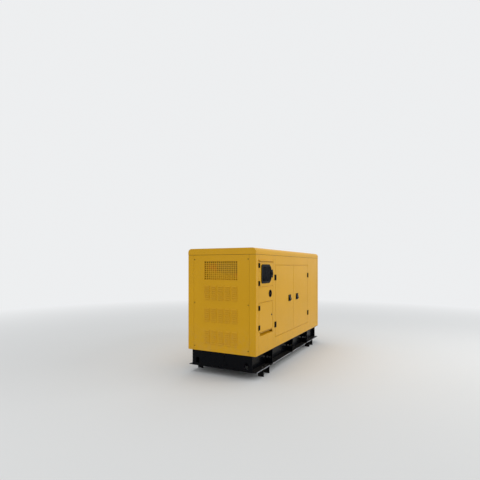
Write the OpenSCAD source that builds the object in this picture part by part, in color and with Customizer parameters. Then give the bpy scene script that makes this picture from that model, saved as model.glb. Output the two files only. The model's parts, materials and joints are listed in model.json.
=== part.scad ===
// Enclosed generator set: a sound-proof steel enclosure on a black skid.
// X runs along the length from the louvred end, -Y is the control side, Z is up.
// Sizes are in millimetres. Places along the length are counted from the louvred end.

/* [Enclosure] */
// Length of the enclosure
canopy_l = 3050; // [2900:10:3400]
// Width of the enclosure
canopy_w = 1100; // [1060:10:1300]
// Height of the walls from the skid to the roof joint
wall_h = 1379; // [1370:1:1600]
// Thickness of the sheet steel
skin_t = 3; // [2:0.5:4]
// Depth of the folded edges of the wall panels
fold_d = 40; // [36:1:60]
// Outer radius of the upright corner folds
corner_r = 6; // [4:1:12]
// Visible width of a corner post on each face
post_leg = 98; // [90:1:110]
// Gap between an end panel and its corner posts
panel_seam = 2; // [1:0.5:4]

/* [Roof] */
// Height of the roof band above its seal
roof_h = 90; // [80:1:130]
// Height of the seal between the walls and the roof
seal_h = 4; // [2:0.5:8]
// How far the seal lies behind the wall faces
seal_in = 5; // [4:0.5:8]
// Width of the seal
seal_w = 24; // [15:1:40]
// Radius of the long upper edges of the roof
roof_r = 55; // [20:1:70]

/* [Skid] */
// Height of the feet under the skid
foot_h = 105; // [60:1:140]
// Height of the skid rails
rail_h = 230; // [210:1:300]
// Distance from the enclosure side to the outer face of a rail web
web_inset = 112; // [108:1:150]
// Plate thickness of the rails
rail_t = 8; // [5:1:12]
// Distance from an enclosure end to the end plate
end_inset = 20; // [5:1:40]
// Thickness of the end plates
end_plate_t = 8; // [5:1:12]
// Distance from the enclosure side to the edge of an end plate
end_plate_inset = 62; // [40:1:100]
// Length of the open pocket between an end plate and the tank
pocket_l = 160; // [120:5:300]
// Gap under the tank, above the lower edge of the rails
tank_lift = 40; // [20:1:60]
// Thickness of the deck plate
deck_t = 6; // [4:1:10]
// Length of one foot
foot_l = 210; // [160:5:300]
// Depth of one foot across the skid
foot_w = 90; // [60:1:110]
// Plate thickness of the feet
foot_t = 8; // [5:1:12]
// Centre of the first pair of feet
foot_x_left = 365; // [250:5:450]
// Centre of the second pair of feet
foot_x_right = 2550; // [2500:5:2700]

/* [Lifting holes] */
// Width of an oval lifting hole
eye_w = 56; // [40:1:60]
// Height of an oval lifting hole
eye_h = 90; // [70:1:110]
// Height of the hole centre above the lower edge of the rails
eye_z = 80; // [60:1:100]
// Gap between a lifting hole and the rail web behind it
eye_gap = 5; // [3:1:20]
// Thickness of a gusset plate in a rail
gusset_t = 8; // [5:1:12]
// Centre of the first gusset plates
gusset_x1 = 590; // [560:5:700]
// Centre of the second gusset plates
gusset_x2 = 1490; // [1300:5:1600]
// Centre of the third gusset plates
gusset_x3 = 2300; // [2000:5:2340]
// Diameter of the holes in a gusset plate
gusset_hole_d = 34; // [20:1:36]
// Distance between the two holes of a gusset plate
gusset_pitch = 48; // [44:1:50]
// Distance from the outer edge of a gusset plate to its first hole
gusset_edge = 33; // [24:1:36]
// Height of the gusset holes above the lower edge of the rails
gusset_hole_z = 100; // [60:1:150]

/* [Tank cover and plug] */
// Width of the cover on the end plate
cover_w = 363; // [250:1:400]
// Height of the cover on the end plate
cover_h = 75; // [50:1:100]
// Thickness of the cover
cover_t = 5; // [3:1:8]
// Sideways distance of the cover centre from the middle of the skid
cover_y = 130; // [80:1:160]
// Height of the cover centre above the lower edge of the rails
cover_z = 158; // [120:1:170]
// Diameter of the drain plug
plug_d = 34; // [20:1:50]
// Height of the drain plug head
plug_l = 12; // [6:1:16]
// Sideways distance of the plug from the middle of the skid
plug_y = -70; // [-150:1:-20]
// Height of the plug above the lower edge of the rails
plug_z = 65; // [40:1:120]

/* [Main doors] */
// Hinge side edge of the left door
main_x0 = 700; // [690:1:760]
// Hinge side edge of the right door
main_x1 = 2335; // [2200:1:2400]
// Lower edge of the doors above the deck
main_z0 = 158; // [100:1:250]
// Distance from the upper edge of the doors to the top of the wall
main_drop = 145; // [120:1:220]
// Gap all round a door
door_gap = 6.5; // [6:0.5:9]
// Depth of a door
door_d = 30; // [24:1:34]
// Distance from a main hinge centre to the upper or lower edge of its door
main_hinge_in = 184; // [120:1:260]
// Width of the top-hat stiffeners inside a door
rib_w = 60; // [40:1:90]
// Depth of the stiffeners
rib_d = 20; // [12:1:24]
// How far the stop frame reaches into a doorway
stop_lip = 16; // [12:1:24]
// How far the stop frame reaches behind the wall panels
stop_hold = 18; // [12:1:24]

/* [Control bay] */
// Right edge of the control door
control_x1 = 600; // [590:1:620]
// Height of the control door
control_h = 342; // [300:1:380]
// Distance from the upper edge of the control door to the top of the wall
control_drop = 102; // [80:1:140]
// Distance between the control door and the terminal door
middle_h = 225; // [160:1:300]
// Right edge of the terminal door
terminal_x1 = 579; // [560:1:600]
// Lower edge of the terminal door above the deck
terminal_z0 = 308; // [300:1:360]
// Distance from the left edge of the terminal door to the cable outlet
outlet_in = 30; // [15:1:60]
// Distance from the right end of the cable outlet to the folded edge beside it
outlet_out = 4; // [2:1:20]
// Height of the cable outlet
outlet_h = 42; // [30:1:44]
// Height of the strip of wall between the outlet and the terminal door
outlet_strip = 8; // [8:1:20]
// Rise of the sloping plate in the cable outlet
chute_rise = 30; // [10:1:30]
// Length of the sloping plate across the enclosure
chute_d = 100; // [80:5:160]
// Depth of the bay behind the two small doors
bay_d = 400; // [300:10:480]
// Place of the partition between the bay and the machine room
bay_x1 = 650; // [640:1:690]
// Distance from an enclosure end to its sound baffle
baffle_x = 84; // [60:1:90]
// Thickness of a sound baffle
baffle_t = 12; // [6:1:20]
// Open height above a sound baffle
baffle_top = 110; // [60:5:200]

/* [Control cabinet] */
// Width of the control cabinet
cabinet_w = 380; // [300:5:420]
// Height of the control cabinet
cabinet_h = 280; // [200:5:300]
// Depth of the control cabinet
cabinet_d = 280; // [120:5:310]

/* [Terminal board] */
// Width of the terminal board
board_w = 360; // [240:5:420]
// Height of the terminal board
board_h = 220; // [150:5:300]
// Thickness of the terminal board
board_t = 30; // [15:1:50]
// Number of busbars on the terminal board
busbar_count = 4; // [3:1:5]
// Width of a busbar
busbar_w = 40; // [25:1:50]
// Thickness of a busbar
busbar_t = 8; // [5:1:12]

/* [Machine] */
// Height of the shaft above the deck
shaft_z = 480; // [440:5:560]
// Radius of the alternator frame
alternator_r = 285; // [240:5:310]
// Length of the alternator
alternator_l = 700; // [600:10:800]
// Place of the alternator's cover end
machine_x0 = 790; // [740:10:850]
// Number of fins round the alternator frame
fin_count = 36; // [24:4:48]
// Height of an alternator fin
fin_h = 14; // [8:1:20]
// Thickness of an alternator fin
fin_t = 7; // [5:1:10]
// Length of the gearbox
gearbox_l = 300; // [240:10:360]
// Width of the gearbox
gearbox_w = 520; // [440:10:580]
// Height of the gearbox
gearbox_h = 600; // [500:10:680]
// Radius of the turbine casing at the burner
turbine_r = 250; // [200:5:290]
// Width of the bed beams
beam_w = 80; // [60:5:120]
// Height of the bed beams
beam_h = 100; // [80:5:140]
// Distance between the bed beams
beam_pitch = 440; // [380:10:500]
// Distance from the exhaust plenum to the sound baffle behind it
plenum_gap = 224; // [180:1:320]
// Radius of the exhaust silencer
silencer_r = 160; // [120:5:190]
// Depth of the exhaust plenum along the shaft
plenum_l = 160; // [120:5:180]
// Width of the exhaust plenum
plenum_w = 460; // [420:5:520]
// Height of the silencer axis above the deck
silencer_z = 1090; // [1020:10:1150]

/* [Window] */
// Distance from the left edge of the control door to the window frame
window_left = 71; // [60:1:100]
// Distance from the right edge of the control door to the window frame
window_right = 78; // [64:1:120]
// Distance from the lower edge of the control door to the window frame
window_low = 43; // [36:1:60]
// Distance from the upper edge of the control door to the window frame
window_high = 32; // [26:1:50]
// Length of the cut corner along the window frame
window_cut_x = 68; // [40:1:110]
// Height of the cut corner of the window frame
window_cut_z = 46; // [30:1:90]
// Radius of the rounded corners of the window frame
window_r = 42; // [30:1:50]
// Width of the frame round the glass
window_border = 24; // [18:1:34]
// How far the window frame stands proud
window_proud = 9; // [7:0.5:14]
// Thickness of the lip in front of the glass
window_lip = 4; // [2:0.5:5]
// How far the glass reaches behind the lip
glass_hold = 9; // [5:1:14]

/* [Drip rail] */
// How far the drip rail runs past the left edge of the control door
drip_left = 20; // [5:1:40]
// How far the drip rail runs past the right edge of the control door
drip_right = 34; // [5:1:60]
// Height of the drip rail above the control door
drip_lift = 14; // [10:1:40]
// How far the drip rail stands proud
drip_proud = 22; // [14:1:30]
// Height of the drip rail
drip_h = 20; // [12:1:30]

/* [Emergency stop] */
// Distance from the emergency stop to the right edge of the control door
stop_right = 103; // [80:1:160]
// Diameter of the flange
stop_flange_d = 108; // [98:1:116]
// Diameter of the cup
stop_cup_d = 90; // [70:1:94]
// Depth of the cup
stop_depth = 34; // [26:1:38]
// Diameter of the mushroom button
stop_button_d = 40; // [30:1:50]

/* [Latches and locks] */
// Width of a paddle latch
latch_w = 115; // [100:1:130]
// Height of a paddle latch
latch_h = 104; // [90:1:120]
// Width of the rim of a paddle latch
latch_rim = 13; // [10:1:18]
// How far a paddle latch stands proud
latch_proud = 22; // [16:1:30]
// Thickness of the latch flange
latch_t = 4; // [3:0.5:6]
// Depth of the latch dish behind the door face
latch_dish = 20; // [14:1:24]
// Distance from the middle seam to a latch centre
latch_from_seam = 186; // [120:1:220]
// Width of the window latch block
block_w = 60; // [40:1:66]
// Height of the window latch block
block_h = 114; // [80:1:130]
// How far the window latch block laps over the window frame
block_lap = 13; // [6:1:20]
// Diameter of the terminal door lock
lock_d = 26; // [18:1:34]
// Distance from the lock to the right edge of the terminal door
lock_right = 32; // [24:1:60]

/* [Hinges] */
// Radius of a hinge knuckle
knuckle_r = 7; // [6:0.5:9]
// Radius of a hinge pin
pin_r = 4; // [3:0.5:5]
// Running clearance round a hinge pin
pin_clear = 0.08; // [0.03:0.01:0.1]
// Gap between a knuckle and the door face
knuckle_lift = 0.5; // [0.3:0.1:1]
// Gap between two knuckles along the pin
knuckle_gap = 0.5; // [0.3:0.1:1]
// Thickness of a hinge leaf
leaf_t = 4; // [3:0.5:5]
// Height of a main hinge
main_hinge_h = 85; // [70:1:100]
// Reach of a main hinge leaf from the pin
main_leaf = 37; // [28:1:45]
// Height of a small hinge
small_hinge_h = 65; // [50:1:80]
// Reach of the door leaf of a small hinge
small_leaf = 34; // [24:1:40]
// Reach of the wall leaf of a small hinge
small_wall_leaf = 22; // [16:1:30]
// Distance from a hinge centre to the upper or lower edge of the control door
control_hinge_in = 48; // [40:1:70]
// Distance from a hinge centre to the upper or lower edge of the terminal door
terminal_hinge_in = 66; // [40:1:90]

/* [Louvres and grille] */
// Number of louvre columns on an end panel
louvre_cols = 5; // [3:1:6]
// Number of louvre blocks in a column
louvre_rows = 3; // [1:1:3]
// Number of louvres in a block
louvre_count = 7; // [3:1:8]
// Width of one louvre
louvre_w = 85; // [60:1:95]
// Distance between louvre columns
louvre_pitch_x = 111.5; // [104:0.5:120]
// Distance between louvres in a block
louvre_pitch = 30; // [26:1:31]
// Distance from the uppermost louvre to the grille
louvre_top_gap = 80; // [60:1:120]
// Height of the lowest slot above the deck
louvre_z0 = 108; // [80:1:140]
// Height of one pressed louvre
louvre_h = 20; // [16:1:22]
// How far a louvre stands proud
louvre_proud = 10; // [6:1:14]
// Sheet thickness of a pressed louvre
louvre_t = 2; // [1.5:0.5:3]
// Number of grille holes across
grille_cols = 16; // [8:1:16]
// Number of grille holes up
grille_rows = 9; // [4:1:9]
// Distance between grille holes across
grille_pitch_y = 33.8; // [30:0.1:36]
// Distance between grille holes up
grille_pitch_z = 29.7; // [26:0.1:31]
// Width of a grille hole
grille_hole_w = 20; // [16:1:27]
// Height of a grille hole
grille_hole_h = 17; // [14:1:23]
// Distance from the grille centre to the top of the wall
grille_drop = 221; // [180:1:260]
// How far the grille plate reaches past its opening
grille_edge = 12; // [8:1:20]

/* [Hidden] */
$fn = 64;

yellow = "goldenrod";
black = "dimgray";

half_l = canopy_l / 2;
half_w = canopy_w / 2;
deck_z = foot_h + rail_h;
roof_z = deck_z + wall_h + seal_h;
web_y = half_w - web_inset;
plate_x = half_l - end_inset;
rail_x = plate_x - end_plate_t;
tank_x = rail_x - pocket_l;
main_mid = (main_x0 + main_x1) / 2;
turbine_end = canopy_l - baffle_x - baffle_t - plenum_gap - plenum_l;
turbine_l = turbine_end - gearbox_l - alternator_l - machine_x0;
beam_l = turbine_end + plenum_l - machine_x0 + beam_w;
small_x0 = post_leg + door_gap;
main_z1 = wall_h - main_drop;
latch_z = (main_z0 + main_z1) / 2;
control_z1 = wall_h - control_drop;
control_z0 = control_z1 - control_h;
terminal_z1 = control_z0 - middle_h;
window_x0 = small_x0 + window_left;
window_x1 = control_x1 - window_right;
window_z0 = control_z0 + window_low;
window_z1 = control_z1 - window_high;
outlet_x0 = small_x0 + outlet_in;
outlet_x1 = terminal_x1 + door_gap - outlet_out;
drip_x0 = small_x0 - drip_left;
drip_x1 = control_x1 + drip_right;
drip_z = control_z1 + drip_lift;
stop_x = control_x1 - stop_right;
stop_z = (control_z0 + terminal_z1) / 2;
block_x = window_x1 - block_lap + block_w / 2;
lock_x = terminal_x1 - lock_right;
lock_z = (terminal_z0 + terminal_z1) / 2;
bay_wall_x = control_x1 + door_gap;
hinge_out = knuckle_r + knuckle_lift;
tongue_gap = 1.2;
knuckle_clear = knuckle_r + tongue_gap;
outlet_z1 = terminal_z0 - door_gap - outlet_strip;
outlet_z0 = outlet_z1 - outlet_h;
eye_y = web_y - rail_t - eye_gap - eye_w / 2;
gusset_y0 = half_w - gusset_edge;
panel_half = half_w - post_leg - panel_seam;
grille_w = grille_cols * grille_pitch_y;
grille_h = grille_rows * grille_pitch_z;
grille_z = wall_h - grille_drop;
louvre_block_h = (louvre_count - 1) * louvre_pitch + louvre_h;
louvre_top = grille_z - grille_h / 2 - louvre_top_gap;
block_pitch = (louvre_top - louvre_block_h - louvre_z0) / max(louvre_rows - 1, 1);
latch_cut = 2;
cut = 1;
arc_steps = 6;

// Place along the length, counted from the louvred end
function at(x) = x - half_l;

// Moves a child drawn with its outer face at y = 0 and its inside at y > 0 to the control side
module on_front() { translate([0, -half_w, 0]) children(); }
// The same for the far side
module on_rear() { mirror([0, 1, 0]) on_front() children(); }

// Sheet with its four edges folded inwards, outer face at y = 0
module folded_panel(x0, x1, z0, z1, depth = fold_d) {
    translate([at(x0), 0, deck_z + z0])
        difference() {
            cube([x1 - x0, depth, z1 - z0]);
            translate([skin_t, skin_t, skin_t])
                cube([x1 - x0 - 2 * skin_t, depth, z1 - z0 - 2 * skin_t]);
        }
}

// Straight through cut in a panel, outer face at y = 0
module panel_cut(x0, x1, z0, z1) {
    translate([at(x0), -cut, deck_z + z0])
        cube([x1 - x0, skin_t + 2 * cut, z1 - z0]);
}

// Skid

// C-shaped rail, open to the outside, on the control side
module rail_shape() {
    difference() {
        translate([-rail_x, -half_w, foot_h])
            cube([2 * rail_x, web_inset + rail_t, rail_h]);
        translate([-rail_x - cut, -half_w - cut, foot_h + rail_t])
            cube([2 * (rail_x + cut), web_inset + cut, rail_h - 2 * rail_t]);
    }
}

module rail_front() {
    color(black) rail_shape();
}

module rail_rear() {
    color(black) mirror([0, 1, 0]) rail_shape();
}

// Oval outline of a lifting hole
module eye_outline() {
    rise = (eye_h - eye_w) / 2;
    union() {
        translate([0, -rise]) circle(d = eye_w);
        translate([0, rise]) circle(d = eye_w);
        square([eye_w, 2 * rise], center = true);
    }
}

// End plate of the skid with its two lifting holes, at the louvred end
module end_plate_shape() {
    reach = half_w - end_plate_inset;
    translate([-plate_x, 0, foot_h])
        rotate([90, 0, 90])
            linear_extrude(end_plate_t)
                difference() {
                    translate([-reach, 0]) square([2 * reach, rail_h]);
                    for (s = [-1, 1])
                        translate([s * eye_y, eye_z]) eye_outline();
                }
}

module end_plate_left() {
    color(black) end_plate_shape();
}

module end_plate_right() {
    color(black) mirror([1, 0, 0]) end_plate_shape();
}

module base_tank() {
    reach = web_y - rail_t;
    color(black)
        translate([-tank_x, -reach, foot_h + tank_lift])
            cube([2 * tank_x, 2 * reach, rail_h - tank_lift - deck_t]);
}

module deck_plate() {
    reach = web_y - rail_t;
    color(black)
        translate([-rail_x, -reach, deck_z - deck_t])
            cube([2 * rail_x, 2 * reach, deck_t]);
}

// One gusset plate across a rail, with its two holes
module gusset(x) {
    translate([at(x) - gusset_t / 2, -half_w, foot_h + rail_t])
        rotate([90, 0, 90])
            linear_extrude(gusset_t)
                difference() {
                    square([web_inset, rail_h - 2 * rail_t]);
                    for (i = [0, 1])
                        translate([gusset_edge + i * gusset_pitch, gusset_hole_z - rail_t])
                            circle(d = gusset_hole_d);
                }
}

module gusset_plates() {
    color(black)
        for (x = [gusset_x1, gusset_x2, gusset_x3]) {
            gusset(x);
            mirror([0, 1, 0]) gusset(x);
        }
}

// One foot: a plate folded into an upside-down U, on the control side
module foot(x) {
    translate([at(x) - foot_l / 2, -half_w, 0])
        difference() {
            cube([foot_l, foot_w, foot_h]);
            translate([foot_t, -cut, -cut])
                cube([foot_l - 2 * foot_t, foot_w + 2 * cut, foot_h - foot_t + cut]);
        }
}

module feet() {
    color(black)
        for (x = [foot_x_left, foot_x_right]) {
            foot(x);
            mirror([0, 1, 0]) foot(x);
        }
}

module tank_cover() {
    color("gray")
        translate([-plate_x - cover_t, cover_y - cover_w / 2, foot_h + cover_z - cover_h / 2])
            cube([cover_t, cover_w, cover_h]);
}

module drain_plug() {
    color(black)
        translate([-plate_x - plug_l, plug_y, foot_h + plug_z])
            rotate([0, 90, 0])
                cylinder(d = plug_d, h = plug_l, $fn = 6);
}

// Enclosure walls

// Upright corner post: an angle with a round outer fold and a short return on each leg
module corner_post_shape() {
    inner_r = corner_r - skin_t;
    translate([-half_l, -half_w, deck_z])
        linear_extrude(wall_h)
            difference() {
                union() {
                    translate([corner_r, corner_r]) circle(r = corner_r);
                    translate([corner_r, 0]) square([post_leg - corner_r, skin_t]);
                    translate([0, corner_r]) square([skin_t, post_leg - corner_r]);
                    translate([post_leg - skin_t, 0]) square([skin_t, fold_d]);
                    translate([0, post_leg - skin_t]) square([fold_d, skin_t]);
                }
                translate([corner_r, corner_r]) circle(r = inner_r);
                translate([corner_r, skin_t]) square([corner_r, 2 * corner_r]);
                translate([skin_t, corner_r]) square([2 * corner_r, corner_r]);
            }
}

module corner_posts() {
    color(yellow)
        for (a = [0, 1], b = [0, 1])
            mirror([a, 0, 0]) mirror([0, b, 0]) corner_post_shape();
}

// Lower left corner of a louvre slot, in the plane of the end panel
function louvre_y(c) = (c - (louvre_cols - 1) / 2) * louvre_pitch_x - louvre_w / 2;
function louvre_z(r, i) = louvre_z0 + r * block_pitch + i * louvre_pitch;

// One pressed louvre: a sloping hood closed at its sides and open at its lower edge
module louvre_hood() {
    difference() {
        rotate([90, 0, 90]) linear_extrude(louvre_w)
            polygon([[0, 0], [0, louvre_h], [-louvre_proud, louvre_t], [-louvre_proud, 0]]);
        translate([louvre_t, 0, -cut])
            rotate([90, 0, 90]) linear_extrude(louvre_w - 2 * louvre_t)
                polygon([
                    [cut, 0], [cut, louvre_h - 2 * louvre_t + cut],
                    [-louvre_proud + louvre_t, 0]
                ]);
    }
}

// End panel with its rows of pressed louvres and the opening for the grille
module end_panel_shape() {
    translate([-half_l, 0, deck_z])
        rotate([0, 0, -90])
            mirror([1, 0, 0]) {
                difference() {
                    translate([-panel_half, 0, 0]) cube([2 * panel_half, fold_d, wall_h]);
                    translate([-panel_half + skin_t, skin_t, skin_t])
                        cube([2 * (panel_half - skin_t), fold_d, wall_h - 2 * skin_t]);
                    translate([-grille_w / 2, -cut, grille_z - grille_h / 2])
                        cube([grille_w, skin_t + 2 * cut, grille_h]);
                    rotate([90, 0, 0]) translate([0, 0, -skin_t - cut])
                        linear_extrude(skin_t + 2 * cut)
                            for (c = [0:louvre_cols - 1], r = [0:louvre_rows - 1], i = [0:louvre_count - 1])
                                translate([louvre_y(c) + louvre_t, louvre_z(r, i)])
                                    square([louvre_w - 2 * louvre_t, louvre_h - 2 * louvre_t]);
                }
                for (c = [0:louvre_cols - 1], r = [0:louvre_rows - 1], i = [0:louvre_count - 1])
                    translate([louvre_y(c), 0, louvre_z(r, i)]) louvre_hood();
            }
}

module end_panel_left() {
    color(yellow) end_panel_shape();
}

module end_panel_right() {
    color(yellow) mirror([1, 0, 0]) end_panel_shape();
}

// Perforated grille plate, fixed behind its opening in the end panel
module grille_shape() {
    translate([-half_l + skin_t, 0, deck_z + grille_z])
        rotate([90, 0, 90])
            linear_extrude(skin_t)
                difference() {
                    square([grille_w + 2 * grille_edge, grille_h + 2 * grille_edge], center = true);
                    for (i = [0:grille_cols - 1], j = [0:grille_rows - 1])
                        translate([
                            (i - (grille_cols - 1) / 2) * grille_pitch_y,
                            (j - (grille_rows - 1) / 2) * grille_pitch_z
                        ])
                            square([grille_hole_w, grille_hole_h], center = true);
                }
}

module grille_left() {
    color("peru") grille_shape();
}

module grille_right() {
    color("peru") mirror([1, 0, 0]) grille_shape();
}

// Sound baffle that stands behind an end panel and is open along its top
module baffle_shape(y0) {
    translate([-half_l + baffle_x, y0, deck_z])
        cube([baffle_t, half_w - fold_d - y0, wall_h - baffle_top]);
}

// This one starts behind the stop frames of the small doors
module baffle_left() {
    color("slategray") baffle_shape(-half_w + fold_d + skin_t);
}

module baffle_right() {
    color("slategray") mirror([1, 0, 0]) baffle_shape(-half_w + fold_d);
}

// Two plates that close the control bay off from the machine room
module bay_partition() {
    x0 = baffle_x + baffle_t;
    color("slategray")
        translate([0, -half_w, deck_z])
            linear_extrude(wall_h)
                union() {
                    translate([at(x0), bay_d - skin_t]) square([bay_x1 - x0, skin_t]);
                    translate([at(bay_x1) - skin_t, fold_d]) square([skin_t, bay_d - fold_d]);
                }
}

module control_cabinet() {
    mid_x = (window_x0 + window_x1) / 2;
    mid_z = (window_z0 + window_z1) / 2;
    color("lightgray")
        translate([at(mid_x) - cabinet_w / 2, -half_w + bay_d - skin_t - cabinet_d,
                   deck_z + mid_z - cabinet_h / 2])
            cube([cabinet_w, cabinet_d, cabinet_h]);
}

// Sloping plate behind the cable outlet, with closed sides
module cable_chute() {
    color(yellow)
        translate([at(outlet_x0), -half_w + skin_t, deck_z + outlet_z0])
            rotate([90, 0, 90])
                linear_extrude(outlet_x1 - outlet_x0)
                    polygon([
                        [0, -skin_t], [chute_d, chute_rise - skin_t],
                        [chute_d, chute_rise], [0, 0]
                    ]);
}

module control_header() {
    color(yellow) on_front()
        folded_panel(post_leg, bay_wall_x, control_z1 + door_gap, wall_h);
}

module control_middle_panel() {
    color(yellow) on_front()
        difference() {
            folded_panel(post_leg, bay_wall_x, terminal_z1 + door_gap, control_z0 - door_gap);
            translate([at(stop_x), -cut, deck_z + stop_z])
                rotate([-90, 0, 0]) cylinder(d = stop_cup_d, h = skin_t + 2 * cut);
        }
}

// Wall under the terminal door, which also runs up beside that door
module control_lower_panel() {
    beside_x = terminal_x1 + door_gap;
    under_z = terminal_z0 - door_gap;
    over_z = terminal_z1 + door_gap;
    color(yellow) on_front()
        difference() {
            union() {
                translate([at(post_leg), 0, deck_z]) cube([bay_wall_x - post_leg, fold_d, under_z]);
                translate([at(beside_x), 0, deck_z]) cube([bay_wall_x - beside_x, fold_d, over_z]);
            }
            translate([at(post_leg) + skin_t, skin_t, deck_z + skin_t])
                cube([bay_wall_x - post_leg - 2 * skin_t, fold_d, under_z - 2 * skin_t]);
            translate([at(beside_x) + skin_t, skin_t, deck_z + skin_t])
                cube([bay_wall_x - beside_x - 2 * skin_t, fold_d, over_z - 2 * skin_t]);
            panel_cut(outlet_x0, outlet_x1, outlet_z0, outlet_z1);
        }
}

module door_post_panel() {
    color(yellow) on_front()
        folded_panel(bay_wall_x, main_x0 - door_gap, 0, wall_h);
}

module front_header() {
    color(yellow) on_front()
        folded_panel(main_x0 - door_gap, main_x1 + door_gap, main_z1 + door_gap, wall_h);
}

module front_sill() {
    color(yellow) on_front()
        folded_panel(main_x0 - door_gap, main_x1 + door_gap, 0, main_z0 - door_gap);
}

module front_right_panel() {
    color(yellow) on_front()
        folded_panel(main_x1 + door_gap, canopy_l - post_leg, 0, wall_h);
}

// Far wall: one folded panel with a doorway that has its own folded edge
module rear_wall() {
    way_x = at(main_x0 - door_gap);
    way_w = main_x1 - main_x0 + 2 * door_gap;
    way_z = deck_z + main_z0 - door_gap;
    way_h = main_z1 - main_z0 + 2 * door_gap;
    color(yellow) on_rear()
        difference() {
            union() {
                folded_panel(post_leg, canopy_l - post_leg, 0, wall_h);
                translate([way_x - skin_t, 0, way_z - skin_t])
                    cube([way_w + 2 * skin_t, fold_d, way_h + 2 * skin_t]);
            }
            translate([way_x, -cut, way_z]) cube([way_w, fold_d + 2 * cut, way_h]);
        }
}

// Outline of the roof band, w wide and h high, with its upper corners rounded
module roof_outline(w, h, r) {
    intersection() {
        translate([-w / 2, 0]) square([w, h]);
        union() {
            translate([-w / 2, 0]) square([w, h - r]);
            translate([-w / 2 + r, 0]) square([w - 2 * r, h]);
            for (s = [-1, 1])
                translate([s * (w / 2 - r), h - r]) circle(r = r);
        }
    }
}

// Ring of dark seal in the joint between the walls and the roof
module roof_seal() {
    color("black")
        translate([0, 0, roof_z - seal_h])
            linear_extrude(seal_h)
                difference() {
                    square([canopy_l - 2 * seal_in, canopy_w - 2 * seal_in], center = true);
                    square([
                        canopy_l - 2 * (seal_in + seal_w), canopy_w - 2 * (seal_in + seal_w)
                    ], center = true);
                }
}

// Roof sheet with rounded long edges and a return along its lower edge
module roof() {
    color(yellow)
        translate([-half_l, 0, roof_z])
            difference() {
                rotate([90, 0, 90])
                    linear_extrude(canopy_l) roof_outline(canopy_w, roof_h, roof_r);
                translate([skin_t, 0, skin_t])
                    rotate([90, 0, 90])
                        linear_extrude(canopy_l - 2 * skin_t)
                            roof_outline(canopy_w - 2 * skin_t, roof_h - 2 * skin_t, roof_r - skin_t);
                translate([fold_d, -half_w + fold_d, -cut])
                    cube([canopy_l - 2 * fold_d, canopy_w - 2 * fold_d, skin_t + 2 * cut]);
            }
}

// Sloping rail with a turned-down lip over the control door
module drip_rail() {
    lip = skin_t + 2;
    color(yellow) on_front()
        translate([at(drip_x0), 0, deck_z + drip_z])
            rotate([90, 0, 90])
                linear_extrude(drip_x1 - drip_x0)
                    polygon([
                        [0, drip_h], [-drip_proud, lip], [-drip_proud, 0],
                        [-drip_proud + skin_t, 0], [-drip_proud + skin_t, lip - skin_t],
                        [0, drip_h - skin_t]
                    ]);
}

// Flat stop frame behind a doorway, on the inner edges of the wall panels
module stop_frame(x0, x1, z0, z1) {
    out = door_gap + stop_hold;
    lip = stop_lip - door_gap;
    translate([0, fold_d + skin_t, deck_z])
        rotate([90, 0, 0])
            linear_extrude(skin_t)
                difference() {
                    translate([at(x0) - out, z0 - out]) square([x1 - x0 + 2 * out, z1 - z0 + 2 * out]);
                    translate([at(x0) + lip, z0 + lip]) square([x1 - x0 - 2 * lip, z1 - z0 - 2 * lip]);
                }
}

module door_stops() {
    color(yellow) on_front() {
        stop_frame(main_x0, main_x1, main_z0, main_z1);
        stop_frame(small_x0, control_x1, control_z0, control_z1);
        stop_frame(small_x0, terminal_x1, terminal_z0, terminal_z1);
    }
}

// Machine room

// Two beams that the machine stands on
module machine_bed() {
    color(black)
        for (s = [-1, 1])
            translate([at(machine_x0) - beam_w / 2, s * beam_pitch / 2 - beam_w / 2, deck_z])
                cube([beam_l, beam_w, beam_h]);
}

// Puts a child that is turned about +X on the shaft line
module on_shaft(x, z = shaft_z) {
    translate([at(x), 0, deck_z + z]) rotate([0, 90, 0]) children();
}

// Finned alternator frame with round covers, feet and its terminal box
module alternator() {
    cover = alternator_l / 7;
    bevel = cover / 2;
    core_r = alternator_r - fin_h;
    nose_r = core_r * 0.7;
    leg_h = shaft_z - beam_h;
    box_z = shaft_z + core_r - 2 * fin_h;
    box_w = alternator_r * 1.2;
    box_h = alternator_r * 0.6;
    color("slategray")
        union() {
            on_shaft(machine_x0)
                rotate_extrude()
                    polygon([
                        [0, 0], [nose_r, 0], [core_r, bevel], [alternator_r, bevel],
                        [alternator_r, cover], [core_r, cover], [core_r, alternator_l - cover],
                        [alternator_r, alternator_l - cover], [alternator_r, alternator_l],
                        [0, alternator_l]
                    ]);
            for (i = [0:fin_count - 1])
                on_shaft(machine_x0 + bevel)
                    rotate([0, 0, i * 360 / fin_count])
                        translate([core_r - fin_h, -fin_t / 2, 0])
                            cube([2 * fin_h, fin_t, alternator_l - cover]);
            for (s = [-1, 1])
                translate([at(machine_x0) + cover, s * beam_pitch / 2 - beam_w / 2, deck_z + beam_h])
                    cube([alternator_l - 2 * cover, beam_w, leg_h]);
            translate([at(machine_x0) + 2 * cover, -box_w / 2, deck_z + box_z])
                cube([alternator_l - 4 * cover, box_w, box_h]);
        }
}

// Gearbox with a split flange, between the alternator and the turbine
module gearbox() {
    flange = 24;
    x = machine_x0 + alternator_l;
    color("slategray")
        translate([at(x), 0, deck_z + beam_h])
            union() {
                translate([0, -gearbox_w / 2, 0]) cube([gearbox_l, gearbox_w, gearbox_h]);
                translate([0, -gearbox_w / 2 - flange, shaft_z - beam_h - flange / 2])
                    cube([gearbox_l, gearbox_w + 2 * flange, flange]);
            }
}

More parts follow.
